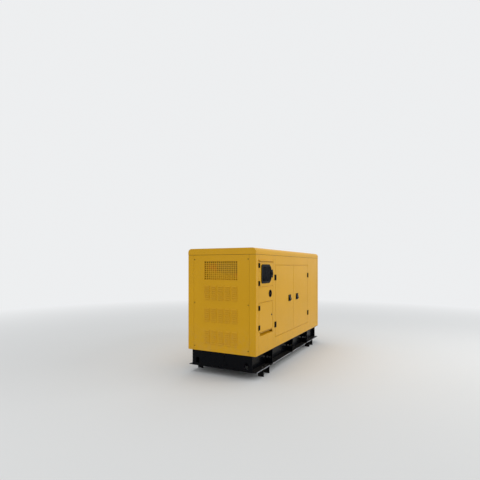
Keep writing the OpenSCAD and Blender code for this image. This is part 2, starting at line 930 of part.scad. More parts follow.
// Stepped turbine casing: inlet, compressor, burner and exhaust cone, with bolted flanges
module turbine() {
    ring = 16;
    lip = 22;
    inlet_r = turbine_r * 0.85;
    middle_r = turbine_r * 0.62;
    exit_r = turbine_r * 0.78;
    inlet_end = turbine_l * 0.14;
    bell_end = turbine_l * 0.3;
    middle_end = turbine_l * 0.44;
    burner_start = turbine_l * 0.5;
    burner_end = turbine_l * 0.74;
    leg_x = turbine_l * 0.56;
    x0 = turbine_end - turbine_l;
    color("silver")
        union() {
            on_shaft(x0)
                rotate_extrude()
                    polygon([
                        [0, 0], [inlet_r, 0], [inlet_r, inlet_end], [inlet_r + lip, inlet_end],
                        [inlet_r + lip, inlet_end + ring], [inlet_r, inlet_end + ring],
                        [middle_r, bell_end], [middle_r, middle_end], [middle_r + lip, middle_end],
                        [middle_r + lip, middle_end + ring], [turbine_r, burner_start],
                        [turbine_r, burner_end], [turbine_r + lip, burner_end],
                        [turbine_r + lip, burner_end + ring], [turbine_r, burner_end + ring],
                        [exit_r, turbine_l], [0, turbine_l]
                    ]);
            for (s = [-1, 1])
                translate([at(x0) + leg_x, s * beam_pitch / 2 - beam_w / 2, deck_z + beam_h])
                    cube([beam_w, beam_w, shaft_z - beam_h]);
        }
}

// Exhaust silencer over the turbine, on two saddles over the gearbox and the burner
module silencer() {
    x0 = machine_x0 + alternator_l + gearbox_l / 4;
    length = turbine_end - x0;
    nose_r = silencer_r * 0.8;
    nose_l = silencer_r * 0.25;
    saddle_w = 50;
    burner_x = turbine_end - turbine_l * 0.4;
    rest_gap = 0.3;
    low_1 = beam_h + gearbox_h;
    low_2 = shaft_z + turbine_r + rest_gap;
    color("silver")
        union() {
            on_shaft(x0, silencer_z)
                rotate_extrude()
                    polygon([
                        [0, 0], [nose_r, 0], [silencer_r, nose_l], [silencer_r, length], [0, length]
                    ]);
            translate([at(x0) + saddle_w, -saddle_w, deck_z + low_1])
                cube([saddle_w, 2 * saddle_w, silencer_z - low_1]);
            translate([at(burner_x), -saddle_w, deck_z + low_2])
                cube([saddle_w, 2 * saddle_w, silencer_z - low_2]);
        }
}

// Plenum that turns the exhaust up from the turbine to the silencer
module exhaust_plenum() {
    low = shaft_z - turbine_r;
    high = silencer_z + silencer_r;
    side = plenum_w / 2;
    slope = plenum_w / 5;
    color("silver")
        translate([at(turbine_end), 0, deck_z])
            rotate([90, 0, 90])
                linear_extrude(plenum_l)
                    polygon([
                        [-side, low + slope], [-side + slope, low], [side - slope, low],
                        [side, low + slope], [side, high - slope], [side - slope, high],
                        [-side + slope, high], [-side, high - slope]
                    ]);
}

module terminal_board() {
    mid_x = (small_x0 + terminal_x1) / 2;
    color("dimgray")
        translate([at(mid_x) - board_w / 2, -half_w + bay_d - skin_t - board_t,
                   deck_z + lock_z - board_h / 2])
            cube([board_w, board_t, board_h]);
}

module busbars() {
    mid_x = (small_x0 + terminal_x1) / 2;
    step = board_w / busbar_count;
    bar_h = board_h * 0.8;
    first_x = at(mid_x) - board_w / 2 + (step - busbar_w) / 2;
    color("orange")
        for (i = [0:busbar_count - 1])
            translate([first_x + i * step, -half_w + bay_d - skin_t - board_t - busbar_t,
                       deck_z + lock_z - board_h / 2])
                cube([busbar_w, busbar_t, bar_h]);
}

// Doors

// Cut for the dish of a paddle latch, centred at x
module latch_cut_out(x) {
    w = latch_w - 2 * latch_rim + 2 * (skin_t + latch_cut);
    h = latch_h - 2 * latch_rim + 2 * (skin_t + latch_cut);
    translate([at(x) - w / 2, -cut, deck_z + latch_z - h / 2])
        cube([w, skin_t + 2 * cut, h]);
}

// Upright top-hat stiffener on the inside of a door, centred at x
module door_rib(x) {
    translate([at(x) - rib_w / 2, skin_t, deck_z + main_z0 + skin_t])
        difference() {
            cube([rib_w, rib_d, main_z1 - main_z0 - 2 * skin_t]);
            translate([skin_t, -cut, -cut])
                cube([rib_w - 2 * skin_t, rib_d - skin_t + cut, main_z1 - main_z0]);
        }
}

module main_leaf_left() {
    union() {
        difference() {
            folded_panel(main_x0, main_mid - door_gap / 2, main_z0, main_z1, door_d);
            latch_cut_out(main_mid - latch_from_seam);
        }
        door_rib((main_x0 + main_mid - latch_from_seam) / 2);
    }
}

module main_leaf_right() {
    union() {
        difference() {
            folded_panel(main_mid + door_gap / 2, main_x1, main_z0, main_z1, door_d);
            latch_cut_out(main_mid + latch_from_seam);
        }
        door_rib((main_x1 + main_mid + latch_from_seam) / 2);
    }
}

module main_door_left() {
    color(yellow) on_front() main_leaf_left();
}

module main_door_right() {
    color(yellow) on_front() main_leaf_right();
}

module rear_doors() {
    color(yellow) on_rear() {
        main_leaf_left();
        main_leaf_right();
    }
}

// Direction from one point to another
function towards(a, b) = (b - a) / norm(b - a);

// Point of a circle round the origin, at an angle
function on_circle(r, angle) = r * [cos(angle), sin(angle)];

// Points that round one corner of an outline, which runs anticlockwise
function rounded(before, corner, after, r) =
    let (
        back = towards(corner, before),
        ahead = towards(corner, after),
        half = acos(back * ahead) / 2,
        centre = corner + (back + ahead) / norm(back + ahead) * r / sin(half),
        start = corner + back * r / tan(half) - centre,
        first = atan2(start[1], start[0])
    )
    [for (i = [0:arc_steps]) centre + on_circle(r, first + i * (180 - 2 * half) / arc_steps)];

// Corners of the window frame with both right corners cut off, drawn in by inset
function window_corners(inset) =
    let (
        slant = sqrt(window_cut_x * window_cut_x + window_cut_z * window_cut_z),
        cut_x = window_cut_x + inset * (slant - window_cut_x) / window_cut_z,
        cut_z = window_cut_z + inset * (slant - window_cut_z) / window_cut_x,
        left = at(window_x0) + inset,
        right = at(window_x1) - inset,
        low = deck_z + window_z0 + inset,
        high = deck_z + window_z1 - inset,
        turn = at(window_x1) - cut_x
    )
    [
        [left, low], [turn, low], [right, deck_z + window_z0 + cut_z],
        [right, deck_z + window_z1 - cut_z], [turn, high], [left, high]
    ];

// Plate with the window outline, from y0 to y1 across the wall
module window_plate(inset, y0, y1) {
    corners = window_corners(inset);
    count = len(corners);
    outline = [for (i = [0:count - 1])
        each rounded(corners[(i + count - 1) % count], corners[i], corners[(i + 1) % count],
                     window_r - inset)];
    translate([0, y1, 0])
        rotate([90, 0, 0])
            linear_extrude(y1 - y0) polygon(outline);
}

module control_door() {
    color(yellow) on_front()
        difference() {
            folded_panel(small_x0, control_x1, control_z0, control_z1, door_d);
            window_plate(window_border, -cut, skin_t + cut);
        }
}

module window_frame() {
    color(black) on_front()
        difference() {
            window_plate(0, -window_proud, 0);
            window_plate(window_border, -window_proud - cut, cut);
            window_plate(window_border - glass_hold, window_lip - window_proud, cut);
        }
}

module window_glass() {
    color("lightblue") on_front()
        window_plate(window_border - glass_hold, window_lip - window_proud, 0);
}

module terminal_door() {
    color(yellow) on_front()
        folded_panel(small_x0, terminal_x1, terminal_z0, terminal_z1, door_d);
}

// Hinges: the pin stands upright at the origin and the door lies on the +X side

// Leaf plate with the tongues that reach its knuckles
module leaf_plate(h, reach, z_tongues) {
    translate([knuckle_clear, hinge_out - leaf_t, -h / 2])
        cube([reach - knuckle_clear, leaf_t, h]);
    for (z = z_tongues)
        translate([0, hinge_out - leaf_t, z[0]])
            cube([knuckle_clear, leaf_t, z[1] - z[0]]);
}

// Leaf on the wall with the two outer knuckles and the pin
module wall_leaf(h, reach) {
    third = h / 6 + knuckle_gap / 2;
    ends = [[-h / 2, -third], [third, h / 2]];
    union() {
        mirror([1, 0, 0]) leaf_plate(h, reach, ends);
        for (z = ends)
            translate([0, 0, z[0]]) cylinder(r = knuckle_r, h = z[1] - z[0]);
        translate([0, 0, -h / 2]) cylinder(r = pin_r, h = h);
    }
}

// Leaf on the door with the middle knuckle and its bore
module door_leaf(h, reach) {
    third = h / 6 - knuckle_gap / 2;
    difference() {
        union() {
            leaf_plate(h, reach, [[-third, third]]);
            translate([0, 0, -third]) cylinder(r = knuckle_r, h = 2 * third);
        }
        translate([0, 0, -h / 2]) cylinder(r = pin_r + pin_clear, h = h);
    }
}

// Puts a hinge at a seam of the wall
module at_hinge(x, z) {
    translate([at(x), -hinge_out, deck_z + z]) children();
}

main_hinges = [main_z0 + main_hinge_in, main_z1 - main_hinge_in];
control_hinges = [control_z0 + control_hinge_in, control_z1 - control_hinge_in];
terminal_hinges = [terminal_z0 + terminal_hinge_in, terminal_z1 - terminal_hinge_in];
left_seam = main_x0 - door_gap / 2;
right_seam = main_x1 + door_gap / 2;
small_seam = small_x0 - door_gap / 2;

module fixed_hinge_leaves() {
    color(black) on_front() {
        for (z = main_hinges) {
            at_hinge(left_seam, z) wall_leaf(main_hinge_h, main_leaf);
            at_hinge(right_seam, z) mirror([1, 0, 0]) wall_leaf(main_hinge_h, main_leaf);
        }
        for (z = concat(control_hinges, terminal_hinges))
            at_hinge(small_seam, z) wall_leaf(small_hinge_h, small_wall_leaf);
    }
}

// Paddle latch: a flange, a dish behind it and a paddle that stands proud of the face
module paddle_latch(x) {
    w = latch_w - 2 * latch_rim;
    h = latch_h - 2 * latch_rim;
    barrel_y = latch_t / 2;
    barrel_z = h / 2 - latch_t * 3 / 2;
    hold = skin_t / 3;
    translate([at(x), 0, deck_z + latch_z]) {
        difference() {
            union() {
                translate([-latch_w / 2, -latch_t, -latch_h / 2]) cube([latch_w, latch_t, latch_h]);
                translate([-w / 2 - skin_t, 0, -h / 2 - skin_t])
                    cube([w + 2 * skin_t, latch_dish, h + 2 * skin_t]);
            }
            translate([-w / 2, -latch_t - cut, -h / 2])
                cube([w, latch_t + cut + latch_dish - skin_t, h]);
        }
        translate([-w / 2 - hold, barrel_y, barrel_z])
            rotate([0, 90, 0]) cylinder(r = latch_t, h = w + 2 * hold);
        translate([-w / 2 + skin_t, 0, 0])
            rotate([90, 0, 90])
                linear_extrude(w - 2 * skin_t)
                    polygon([
                        [barrel_y, barrel_z + skin_t / 2], [-latch_t, barrel_z],
                        [-latch_proud, -h / 4], [-latch_proud, -h / 2 + skin_t],
                        [-latch_proud + latch_t, -h / 2 + skin_t], [-latch_proud + latch_t, -h / 4],
                        [barrel_y, barrel_z - skin_t / 2]
                    ]);
    }
}

module main_left_hardware() {
    color(black) on_front() {
        for (z = main_hinges)
            at_hinge(left_seam, z) door_leaf(main_hinge_h, main_leaf);
        paddle_latch(main_mid - latch_from_seam);
    }
}

module main_right_hardware() {
    color(black) on_front() {
        for (z = main_hinges)
            at_hinge(right_seam, z) mirror([1, 0, 0]) door_leaf(main_hinge_h, main_leaf);
        paddle_latch(main_mid + latch_from_seam);
    }
}

// Hinge of a far door, drawn closed as one piece
module closed_hinge() {
    union() {
        wall_leaf(main_hinge_h, main_leaf);
        leaf_plate(main_hinge_h, main_leaf, []);
        translate([0, 0, -main_hinge_h / 2]) cylinder(r = knuckle_r, h = main_hinge_h);
        translate([0, hinge_out - leaf_t, -main_hinge_h / 2])
            cube([knuckle_clear, leaf_t, main_hinge_h]);
    }
}

module rear_door_hardware() {
    color(black) on_rear() {
        for (z = main_hinges) {
            at_hinge(left_seam, z) closed_hinge();
            at_hinge(right_seam, z) mirror([1, 0, 0]) closed_hinge();
        }
        paddle_latch(main_mid - latch_from_seam);
        paddle_latch(main_mid + latch_from_seam);
    }
}

module control_door_hardware() {
    color(black) on_front() {
        for (z = control_hinges)
            at_hinge(small_seam, z) door_leaf(small_hinge_h, small_leaf);
        difference() {
            translate([at(block_x) - block_w / 2, -window_proud - latch_t,
                       deck_z + (window_z0 + window_z1 - block_h) / 2])
                cube([block_w, window_proud + latch_t, block_h]);
            window_plate(0, -window_proud, cut);
        }
    }
}

module terminal_door_hinges() {
    color(black) on_front()
        for (z = terminal_hinges)
            at_hinge(small_seam, z) door_leaf(small_hinge_h, small_leaf);
}

// Round key lock with its key slot
module terminal_lock() {
    barrel_d = lock_d * 0.7;
    slot_w = latch_t / 2;
    slot_h = lock_d * 0.4;
    color("silver") on_front()
        translate([at(lock_x), 0, deck_z + lock_z])
            rotate([90, 0, 0])
                difference() {
                    union() {
                        cylinder(d = lock_d, h = latch_t / 2);
                        cylinder(d = barrel_d, h = latch_t * 2);
                    }
                    translate([-slot_w / 2, -slot_h / 2, latch_t])
                        cube([slot_w, slot_h, latch_t + cut]);
                }
}

// Cup with its flange and the mushroom button inside it
module emergency_stop() {
    wall = 2.5;
    play = 0.5;
    cup_r = stop_cup_d / 2 - play;
    button_r = stop_button_d / 2;
    stem_r = button_r * 0.55;
    head_z = -stop_depth + button_r * 1.4;
    color(black) on_front()
        translate([at(stop_x), 0, deck_z + stop_z])
            rotate([90, 0, 0])
                rotate_extrude()
                    union() {
                        translate([cup_r - wall, 0]) square([stop_flange_d / 2 - cup_r + wall, latch_t]);
                        translate([cup_r - wall, -stop_depth]) square([wall, stop_depth]);
                        translate([0, -stop_depth]) square([cup_r, wall]);
                        translate([0, -stop_depth]) square([stem_r, head_z + stop_depth]);
                        translate([0, head_z - wall]) square([button_r - wall, 2 * wall]);
                        translate([button_r - wall, head_z]) circle(r = wall);
                    }
}

rail_front();
rail_rear();
end_plate_left();
end_plate_right();
base_tank();
deck_plate();
gusset_plates();
feet();
tank_cover();
drain_plug();
corner_posts();
end_panel_left();
end_panel_right();
grille_left();
grille_right();
baffle_left();
baffle_right();
bay_partition();
control_cabinet();
cable_chute();
control_header();
control_middle_panel();
control_lower_panel();
door_post_panel();
front_header();
front_sill();
front_right_panel();
rear_wall();
roof_seal();
roof();
drip_rail();
door_stops();
machine_bed();
alternator();
gearbox();
turbine();
silencer();
exhaust_plenum();
terminal_board();
busbars();
main_door_left();
main_door_right();
control_door();
terminal_door();
rear_doors();
window_frame();
window_glass();
control_door_hardware();
terminal_door_hinges();
terminal_lock();
main_left_hardware();
main_right_hardware();
rear_door_hardware();
fixed_hinge_leaves();
emergency_stop();
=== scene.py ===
"""Finishes and small parts of an enclosed turbine generator set, with its studio."""

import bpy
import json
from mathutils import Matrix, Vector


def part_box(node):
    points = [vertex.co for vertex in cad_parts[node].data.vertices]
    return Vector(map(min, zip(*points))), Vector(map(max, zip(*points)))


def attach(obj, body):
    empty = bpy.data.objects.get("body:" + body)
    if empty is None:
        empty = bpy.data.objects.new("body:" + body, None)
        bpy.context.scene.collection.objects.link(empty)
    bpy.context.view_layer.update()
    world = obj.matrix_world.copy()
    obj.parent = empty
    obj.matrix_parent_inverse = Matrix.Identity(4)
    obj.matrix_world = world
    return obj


bl_info = {
    "name": "Enclosed generator set",
    "version": (1, 0, 0),
    "blender": (4, 5, 0),
    "location": "View3D > Sidebar > Generator set",
    "description": "Finishes, fasteners, linings and small parts of an enclosed generator set",
    "category": "Add Mesh",
}

import json
import math

import bmesh
import bpy
from mathutils import Matrix, Vector

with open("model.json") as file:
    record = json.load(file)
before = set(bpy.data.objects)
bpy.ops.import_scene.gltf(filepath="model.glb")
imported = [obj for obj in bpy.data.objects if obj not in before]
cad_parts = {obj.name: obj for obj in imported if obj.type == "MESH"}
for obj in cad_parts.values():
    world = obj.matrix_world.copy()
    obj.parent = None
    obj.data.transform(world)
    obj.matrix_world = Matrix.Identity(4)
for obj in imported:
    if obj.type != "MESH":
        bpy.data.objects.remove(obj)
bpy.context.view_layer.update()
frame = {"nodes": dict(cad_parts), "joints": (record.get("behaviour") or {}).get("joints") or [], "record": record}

NODES = frame["nodes"]
JOINTS = {joint["name"]: joint for joint in frame["joints"]}
FINISHES = {}
X_AXIS = Vector((1, 0, 0))
Y_AXIS = Vector((0, 1, 0))
Z_AXIS = Vector((0, 0, 1))
FRONT = -Y_AXIS
FULL_TURN = 2 * math.pi
QUARTER_TURN = math.pi / 2


# Node maths

def node_operator(operation):
    """An operator that adds a Math node, and its reflected form."""
    def forward(self, other):
        return self.maker.node("ShaderNodeMath", {"operation": operation}, {0: self, 1: other})

    def reflected(self, other):
        return self.maker.node("ShaderNodeMath", {"operation": operation}, {0: other, 1: self})

    return forward, reflected


class Socket:
    """A node's output that can be used in Python expressions."""

    __add__, __radd__ = node_operator("ADD")
    __sub__, __rsub__ = node_operator("SUBTRACT")
    __mul__, __rmul__ = node_operator("MULTIPLY")
    __pow__, __rpow__ = node_operator("POWER")

    def __init__(self, maker, output):
        self.maker = maker
        self.output = output


class NodeMaker:
    """Adds the nodes of one tree and links them."""

    def __init__(self, tree):
        self.tree = tree

    def node(self, kind, settings, values, output=0):
        """Adds any node: its settings first, then the values or links of its sockets."""
        made = self.tree.nodes.new(kind)
        for key, value in settings.items():
            if key == "stops":
                self.set_stops(made.color_ramp, value)
            else:
                setattr(made, key, value)
        for key, value in values.items():
            self.feed(made.inputs[key], value)
        return Socket(self, made.outputs[output])

    def set_stops(self, ramp, stops):
        while len(ramp.elements) < len(stops):
            ramp.elements.new(1)
        for element, (position, colour) in zip(ramp.elements, stops):
            element.position = position
            element.color = (*colour, 1)

    def feed(self, inlet, value):
        if isinstance(value, Socket):
            self.tree.links.new(value.output, inlet)
        elif isinstance(value, tuple) and inlet.type == "RGBA":
            inlet.default_value = (*value[:3], 1)
        else:
            inlet.default_value = value


class Finish(NodeMaker):
    """A material that is built up from nodes."""

    def __init__(self, name, **constants):
        self.material = bpy.data.materials.new(name)
        self.material.use_nodes = True
        super().__init__(self.material.node_tree)
        self.shader = self.tree.nodes["Principled BSDF"]
        for key, value in constants.items():
            self.shader.inputs[key.replace("_", " ")].default_value = value
        self.place = self.node("ShaderNodeTexCoord", {}, {}, "Object")
        split = self.node("ShaderNodeSeparateXYZ", {}, {0: self.place}).output.node
        self.x, self.y, self.z = (Socket(self, output) for output in split.outputs)
        FINISHES[name] = self

    def noise(self, scale, detail=2, roughness=0.5, place=None):
        return self.node("ShaderNodeTexNoise", {}, {
            "Vector": place or self.place, "Scale": scale, "Detail": detail, "Roughness": roughness,
        })

    def cells(self, scale):
        return self.node("ShaderNodeTexVoronoi", {}, {"Vector": self.place, "Scale": scale})

    def stretch(self, x, y, z):
        """Object coordinates scaled by a different amount along each axis."""
        return self.node("ShaderNodeMapping", {}, {"Vector": self.place, "Scale": (x, y, z)})

    def mix(self, factor, first, second):
        """Two colours mixed. The Mix node's colour inputs are its sockets 6 and 7, the output is 2."""
        return self.node("ShaderNodeMix", {"data_type": "RGBA"}, {0: factor, 6: first, 7: second}, 2)

    def clamp(self, value, low, high):
        """0 at low, 1 at high, even in between and flat beyond. Low may be the larger one."""
        return self.node("ShaderNodeMapRange", {}, {"Value": value, "From Min": low, "From Max": high})

    def patches(self, scale, detail, roughness, low, high):
        """Noise cut to patches, 0 where it is under low and 1 where it is over high."""
        return self.clamp(self.noise(scale, detail, roughness), low, high)

    def ramp(self, factor, *stops):
        return self.node("ShaderNodeValToRGB", {"stops": stops}, {0: factor})

    def bump(self, height, distance, strength, normal=None):
        values = {"Height": height, "Distance": distance, "Strength": strength}
        if normal:
            values["Normal"] = normal
        return self.node("ShaderNodeBump", {}, values)

    def soft_edges(self, radius):
        return self.node("ShaderNodeBevel", {"samples": 4}, {"Radius": radius})

    def paint(self, colour, roughness=None, normal=None, metal=None, coat=None, glow=None):
        """Links what varies over the surface to the shader."""
        inlets = {
            "Base Color": colour, "Roughness": roughness, "Normal": normal, "Metallic": metal,
            "Coat Weight": coat, "Emission Color": glow,
        }
        for key, value in inlets.items():
            if value is not None:
                self.feed(self.shader.inputs[key], value)


def shade(colour, amount):
    """The colour made lighter or darker by one factor."""
    return tuple(min(part * amount, 1.0) for part in colour[:3])


# Finishes

def enclosure_paint(settings, name="enclosure_paint", tone=1.0):
    """Satin powder coat: orange peel, slight unevenness, rounded edges and dust near the skid."""
    # A tone under 1 darkens the whole coat, as the grille's copy does: painted shade.
    base = shade(settings.enclosure, tone)
    finish = Finish(name, IOR=1.5, Specular_IOR_Level=0.18, Coat_Roughness=0.12)
    cloud = finish.noise(1.6, 3)
    drift = finish.noise(9.0, 4, 0.6)
    colour = finish.mix(finish.clamp(cloud, 0.35, 0.65), shade(base, 0.965), shade(base, 1.02))
    colour = finish.mix(drift * 0.12, colour, shade(base, 0.9))
    dust = finish.clamp(finish.z, 0.75, 0.29) * finish.patches(14.0, 6, 0.7, 0.45, 0.8)
    colour = finish.mix(dust * 0.28, colour, settings.dust[:3])
    peel = finish.noise(260.0, 2, 0.4)
    edges = finish.soft_edges(settings.paint_edge)
    normal = finish.bump(peel, 0.00016, 0.35, edges)
    wave = finish.noise(3.2, 1)
    normal = finish.bump(wave, 0.0012, 0.4, normal)
    rough = 0.34 + drift * 0.1 + dust * 0.25
    finish.paint(colour, rough, normal, coat=0.06 - dust * 0.06)


def skid_paint(settings):
    """Black enamel on plate steel: rolled grain, dust, scuffs, and a painted highlight along the lower flange's
    lip, coloured as bare steel and broken by painted gusset shadows.
    """
    base = settings.skid[:3]
    finish = Finish("skid_paint", IOR=1.5, Specular_IOR_Level=0.06, Coat_Roughness=0.12)
    grain = finish.noise(60.0, 4, 0.6)
    outward = finish.node("ShaderNodeNewGeometry", {}, {}, "Normal")
    up = finish.node("ShaderNodeSeparateXYZ", {}, {0: outward}, 2)
    settled = finish.clamp(up, 0.4, 0.95) * finish.patches(8.0, 5, 0.65, 0.2, 0.75)
    low = finish.clamp(finish.z, 0.09, 0.0) * finish.patches(30.0, 5, 0.7, 0.4, 0.7)
    colour = finish.mix(finish.clamp(grain, 0.3, 0.7), shade(base, 0.8), shade(base, 1.25))
    colour = finish.mix(settled * 0.08, colour, settings.dust[:3])
    colour = finish.mix(low * 0.1, colour, settings.dust[:3])
    scuffs = finish.clamp(finish.noise(5.0, 8, 0.75, finish.stretch(0.4, 1, 3)), 0.66, 0.74)
    colour = finish.mix(scuffs * 0.2, colour, (0.09, 0.09, 0.1))
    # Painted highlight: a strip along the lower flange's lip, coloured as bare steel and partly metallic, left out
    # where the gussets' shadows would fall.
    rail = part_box("rail_front")[0]
    face = -rail.y
    lip = finish.clamp(finish.y * finish.y, (face - 0.006) ** 2, (face - 0.002) ** 2)
    lip = lip * finish.clamp(finish.z, rail.z + 0.012, rail.z + 0.008)
    lip = lip * finish.clamp(finish.z, rail.z - 0.002, rail.z)
    shadow_shift = 0.048
    shadow_half = 0.05
    soft = 0.005
    for station in GUSSETS:
        along = finish.x - (wall_low.x + station - shadow_shift)
        lip = lip * finish.clamp(along * along, (shadow_half - soft) ** 2, (shadow_half + soft) ** 2)
    lip_highlight = lip * finish.patches(7.0, 5, 0.6, 0.34, 0.5)
    colour = finish.mix(lip_highlight, colour, (0.5, 0.52, 0.57))
    normal = finish.bump(grain, 0.0004, 0.35, finish.soft_edges(0.0015))
    rough = 0.2 + grain * 0.1 + settled * 0.35 + scuffs * 0.15
    finish.paint(colour, rough, normal, lip_highlight * 0.6, 0.02 - settled * 0.02)


def black_fitting(settings):
    """Black zinc and nylon fittings with a fine leather grain and worn high spots."""
    finish = Finish("black_fitting", IOR=1.48, Specular_IOR_Level=0.08)
    grain = finish.noise(700.0, 2)
    wear = finish.patches(45.0, 6, 0.7, 0.58, 0.72)
    colour = finish.mix(wear * 0.4, settings.fitting[:3], (0.02, 0.02, 0.02))
    normal = finish.bump(grain, 0.00012, 0.5, finish.soft_edges(0.0012))
    finish.paint(colour, 0.34 + grain * 0.16 - wear * 0.08, normal)


def baffle_paint(settings):
    """Red and grey-brown primers, seen through the grille, going over towards the foot into a yellow brighter than
    the enclosure's coat: painted light on the lower part and painted shade on the upper rows.
    """
    finish = Finish("baffle_paint", IOR=1.45)
    cloud = finish.noise(3.5, 5, 0.6)
    patches = finish.noise(22.0, 5, 0.7)
    # Painted light and shade: 1 on the painted-lit lower part, fading to 0 on the painted-shaded upper rows.
    reach = finish.clamp(finish.z - finish.y * 0.2 + patches * 0.06, 1.52, 1.45)
    corner = finish.clamp(finish.y, -0.15, -0.19) * finish.clamp(finish.z, 1.47, 1.44)
    red = finish.clamp(finish.y + patches * 0.06, 0.12, 0.16) + corner
    primer = finish.mix(red, (0.22, 0.13, 0.06), (0.85, 0.05, 0.012))
    # The lit yellow is the enclosure's colour made 1.5 times brighter: painted light.
    colour = finish.mix(reach, primer, shade(settings.enclosure, 1.5))
    finish.paint(colour, 0.5 + cloud * 0.2, finish.bump(finish.noise(180.0, 3), 0.0003, 0.4))


def inner_plate(settings):
    """Dark grey primer on the plates inside."""
    finish = Finish("inner_plate", IOR=1.45)
    cloud = finish.noise(4.0, 5, 0.6)
    speck = finish.patches(90.0, 4, 0.7, 0.6, 0.75)
    colour = finish.mix(cloud, (0.055, 0.057, 0.06), (0.085, 0.087, 0.09))
    colour = finish.mix(speck * 0.3, colour, settings.dust[:3])
    finish.paint(colour, 0.5 + cloud * 0.2, finish.bump(finish.noise(220.0, 2), 0.0002, 0.5))


def textured_paint(name, colour, tone, grain_scale):
    """Powder coat with a fine texture, used on the cabinet and the machine."""
    finish = Finish(name, IOR=1.5)
    cloud = finish.noise(7.0, 4, 0.6)
    grain = finish.noise(grain_scale, 3, 0.6)
    oily = finish.patches(5.0, 7, 0.7, 0.55, 0.7)
    mixed = finish.mix(cloud, shade(colour, 0.92), shade(colour, 1.06))
    mixed = finish.mix(oily * 0.35, mixed, shade(colour, tone))
    normal = finish.bump(grain, 0.0003, 0.6, finish.soft_edges(0.0015))
    finish.paint(mixed, 0.42 + grain * 0.12 - oily * 0.1, normal)


def casing_steel():
    """Turned steel that heat has coloured straw and blue towards the exhaust."""
    finish = Finish("casing_steel", Metallic=1.0)
    drift = finish.noise(6.0, 5, 0.65)
    heat = finish.clamp(finish.x + drift * 0.35, -0.05, 1.25)
    tint = finish.ramp(
        heat, (0.0, (0.56, 0.55, 0.53)), (0.35, (0.55, 0.5, 0.42)), (0.55, (0.52, 0.38, 0.22)),
        (0.7, (0.34, 0.24, 0.3)), (0.85, (0.24, 0.27, 0.36)), (1.0, (0.36, 0.35, 0.34)),
    )
    turned = finish.noise(60.0, 4, 0.6, finish.stretch(14, 1, 1))
    colour = finish.mix(turned * 0.35, tint, (0.3, 0.29, 0.28))
    normal = finish.bump(turned, 0.0002, 0.5, finish.soft_edges(0.001))
    finish.paint(colour, 0.3 + turned * 0.2, normal)


def plain_metal(name, colour, rough, scale):
    """Plated or brushed metal with fine scratches and a little tarnish."""
    finish = Finish(name, Metallic=1.0)
    tarnish = finish.noise(scale * 0.2, 5, 0.65)
    scratch = finish.noise(scale, 3, 0.7, finish.stretch(1, 1, 8))
    mixed = finish.mix(finish.clamp(tarnish, 0.4, 0.75), colour, shade(colour, 0.72))
    finish.paint(mixed, rough + scratch * 0.18, finish.bump(scratch, 0.00008, 0.5))


def dark_glass(settings):
    """Smoked sheet that lets a little of what lies behind show through."""
    finish = Finish("dark_glass", IOR=1.5, Specular_IOR_Level=0.012, Alpha=settings.glass_cover)
    smear = finish.noise(11.0, 5, 0.7, finish.stretch(2, 1, 0.7))
    film = finish.clamp(smear, 0.45, 0.7)
    finish.material.surface_render_method = "BLENDED"
    colour = finish.mix(film * 0.6, (0.001, 0.0015, 0.003), (0.022, 0.023, 0.03))
    finish.paint(colour, 0.05 + film * 0.1, finish.bump(finish.noise(5.0, 1), 0.002, 0.3))


def rubber():
    """Extruded sealing rubber, greyed by chalk."""
    finish = Finish("rubber_seal", IOR=1.45)
    chalk = finish.patches(40.0, 6, 0.7, 0.5, 0.8)
    colour = finish.mix(chalk * 0.6, (0.005, 0.005, 0.005), (0.03, 0.03, 0.03))
    finish.paint(colour, 0.7 + chalk * 0.15, finish.bump(finish.noise(300.0, 2), 0.0001, 0.5))


def foam():
    """Charcoal acoustic foam with open cells and a soft, uneven face."""
    finish = Finish("acoustic_foam", IOR=1.3)
    cell = finish.cells(260.0)
    cloud = finish.noise(6.0, 4, 0.6)
    colour = finish.mix(finish.clamp(cell, 0.1, 0.7), (0.03, 0.03, 0.032), (0.075, 0.075, 0.08))
    colour = finish.mix(cloud * 0.4, colour, (0.04, 0.04, 0.045))
    finish.paint(colour, 0.92, finish.bump(cell, 0.0012, 0.8))


def glowing(name, colour, strength):
    """Lamp lens or display that is lit from behind."""
    finish = Finish(name, Emission_Strength=strength, Roughness=0.15)
    cloud = finish.noise(400.0, 1)
    mixed = finish.mix(cloud, shade(colour, 0.8), shade(colour, 1.0))
    finish.paint(mixed, glow=mixed)


def moulded(name, colour, rough):
    """Moulded plastic with a fine spark-eroded grain."""
    finish = Finish(name, IOR=1.46, Specular_IOR_Level=0.3)
    grain = finish.noise(900.0, 2)
    mixed = finish.mix(finish.noise(30.0, 3), shade(colour, 0.92), shade(colour, 1.05))
    finish.paint(mixed, rough + grain * 0.12, finish.bump(grain, 0.0001, 0.5))


# Shapes

def facing(point, direction):
    """A place whose Z axis points along the direction."""
    turn = Vector(direction).to_track_quat("Z", "Y").to_matrix().to_4x4()
    return Matrix.Translation(point) @ turn


def ring_places(middle, axis, radius, count, direction=None, phase=0.0):
    """Places round a circle about a level axis, all facing one way."""
    return [
        facing(middle + Matrix.Rotation(phase + FULL_TURN * i / count, 3, axis) @ Z_AXIS * radius,
               direction or axis)
        for i in range(count)
    ]


def round_edges(bm, verts, edge, segments=2):
    sharp = 0.5
    edges = {e for v in verts for e in v.link_edges if e.calc_face_angle(0.0) > sharp}
    bmesh.ops.bevel(
        bm, geom=list(edges), offset=edge, offset_type="OFFSET", affect="EDGES",
        segments=segments, profile=0.5, material=-1,
    )


def add_box(bm, low, high, edge=0.0, segments=2):
    """A block between two corners, with its edges rounded."""
    low = Vector(low)
    high = Vector(high)
    shape = Matrix.Translation((low + high) / 2) @ Matrix.Diagonal((*(high - low), 1.0))
    verts = bmesh.ops.create_cube(bm, size=1.0, matrix=shape)["verts"]
    if edge:
        round_edges(bm, verts, edge, segments)


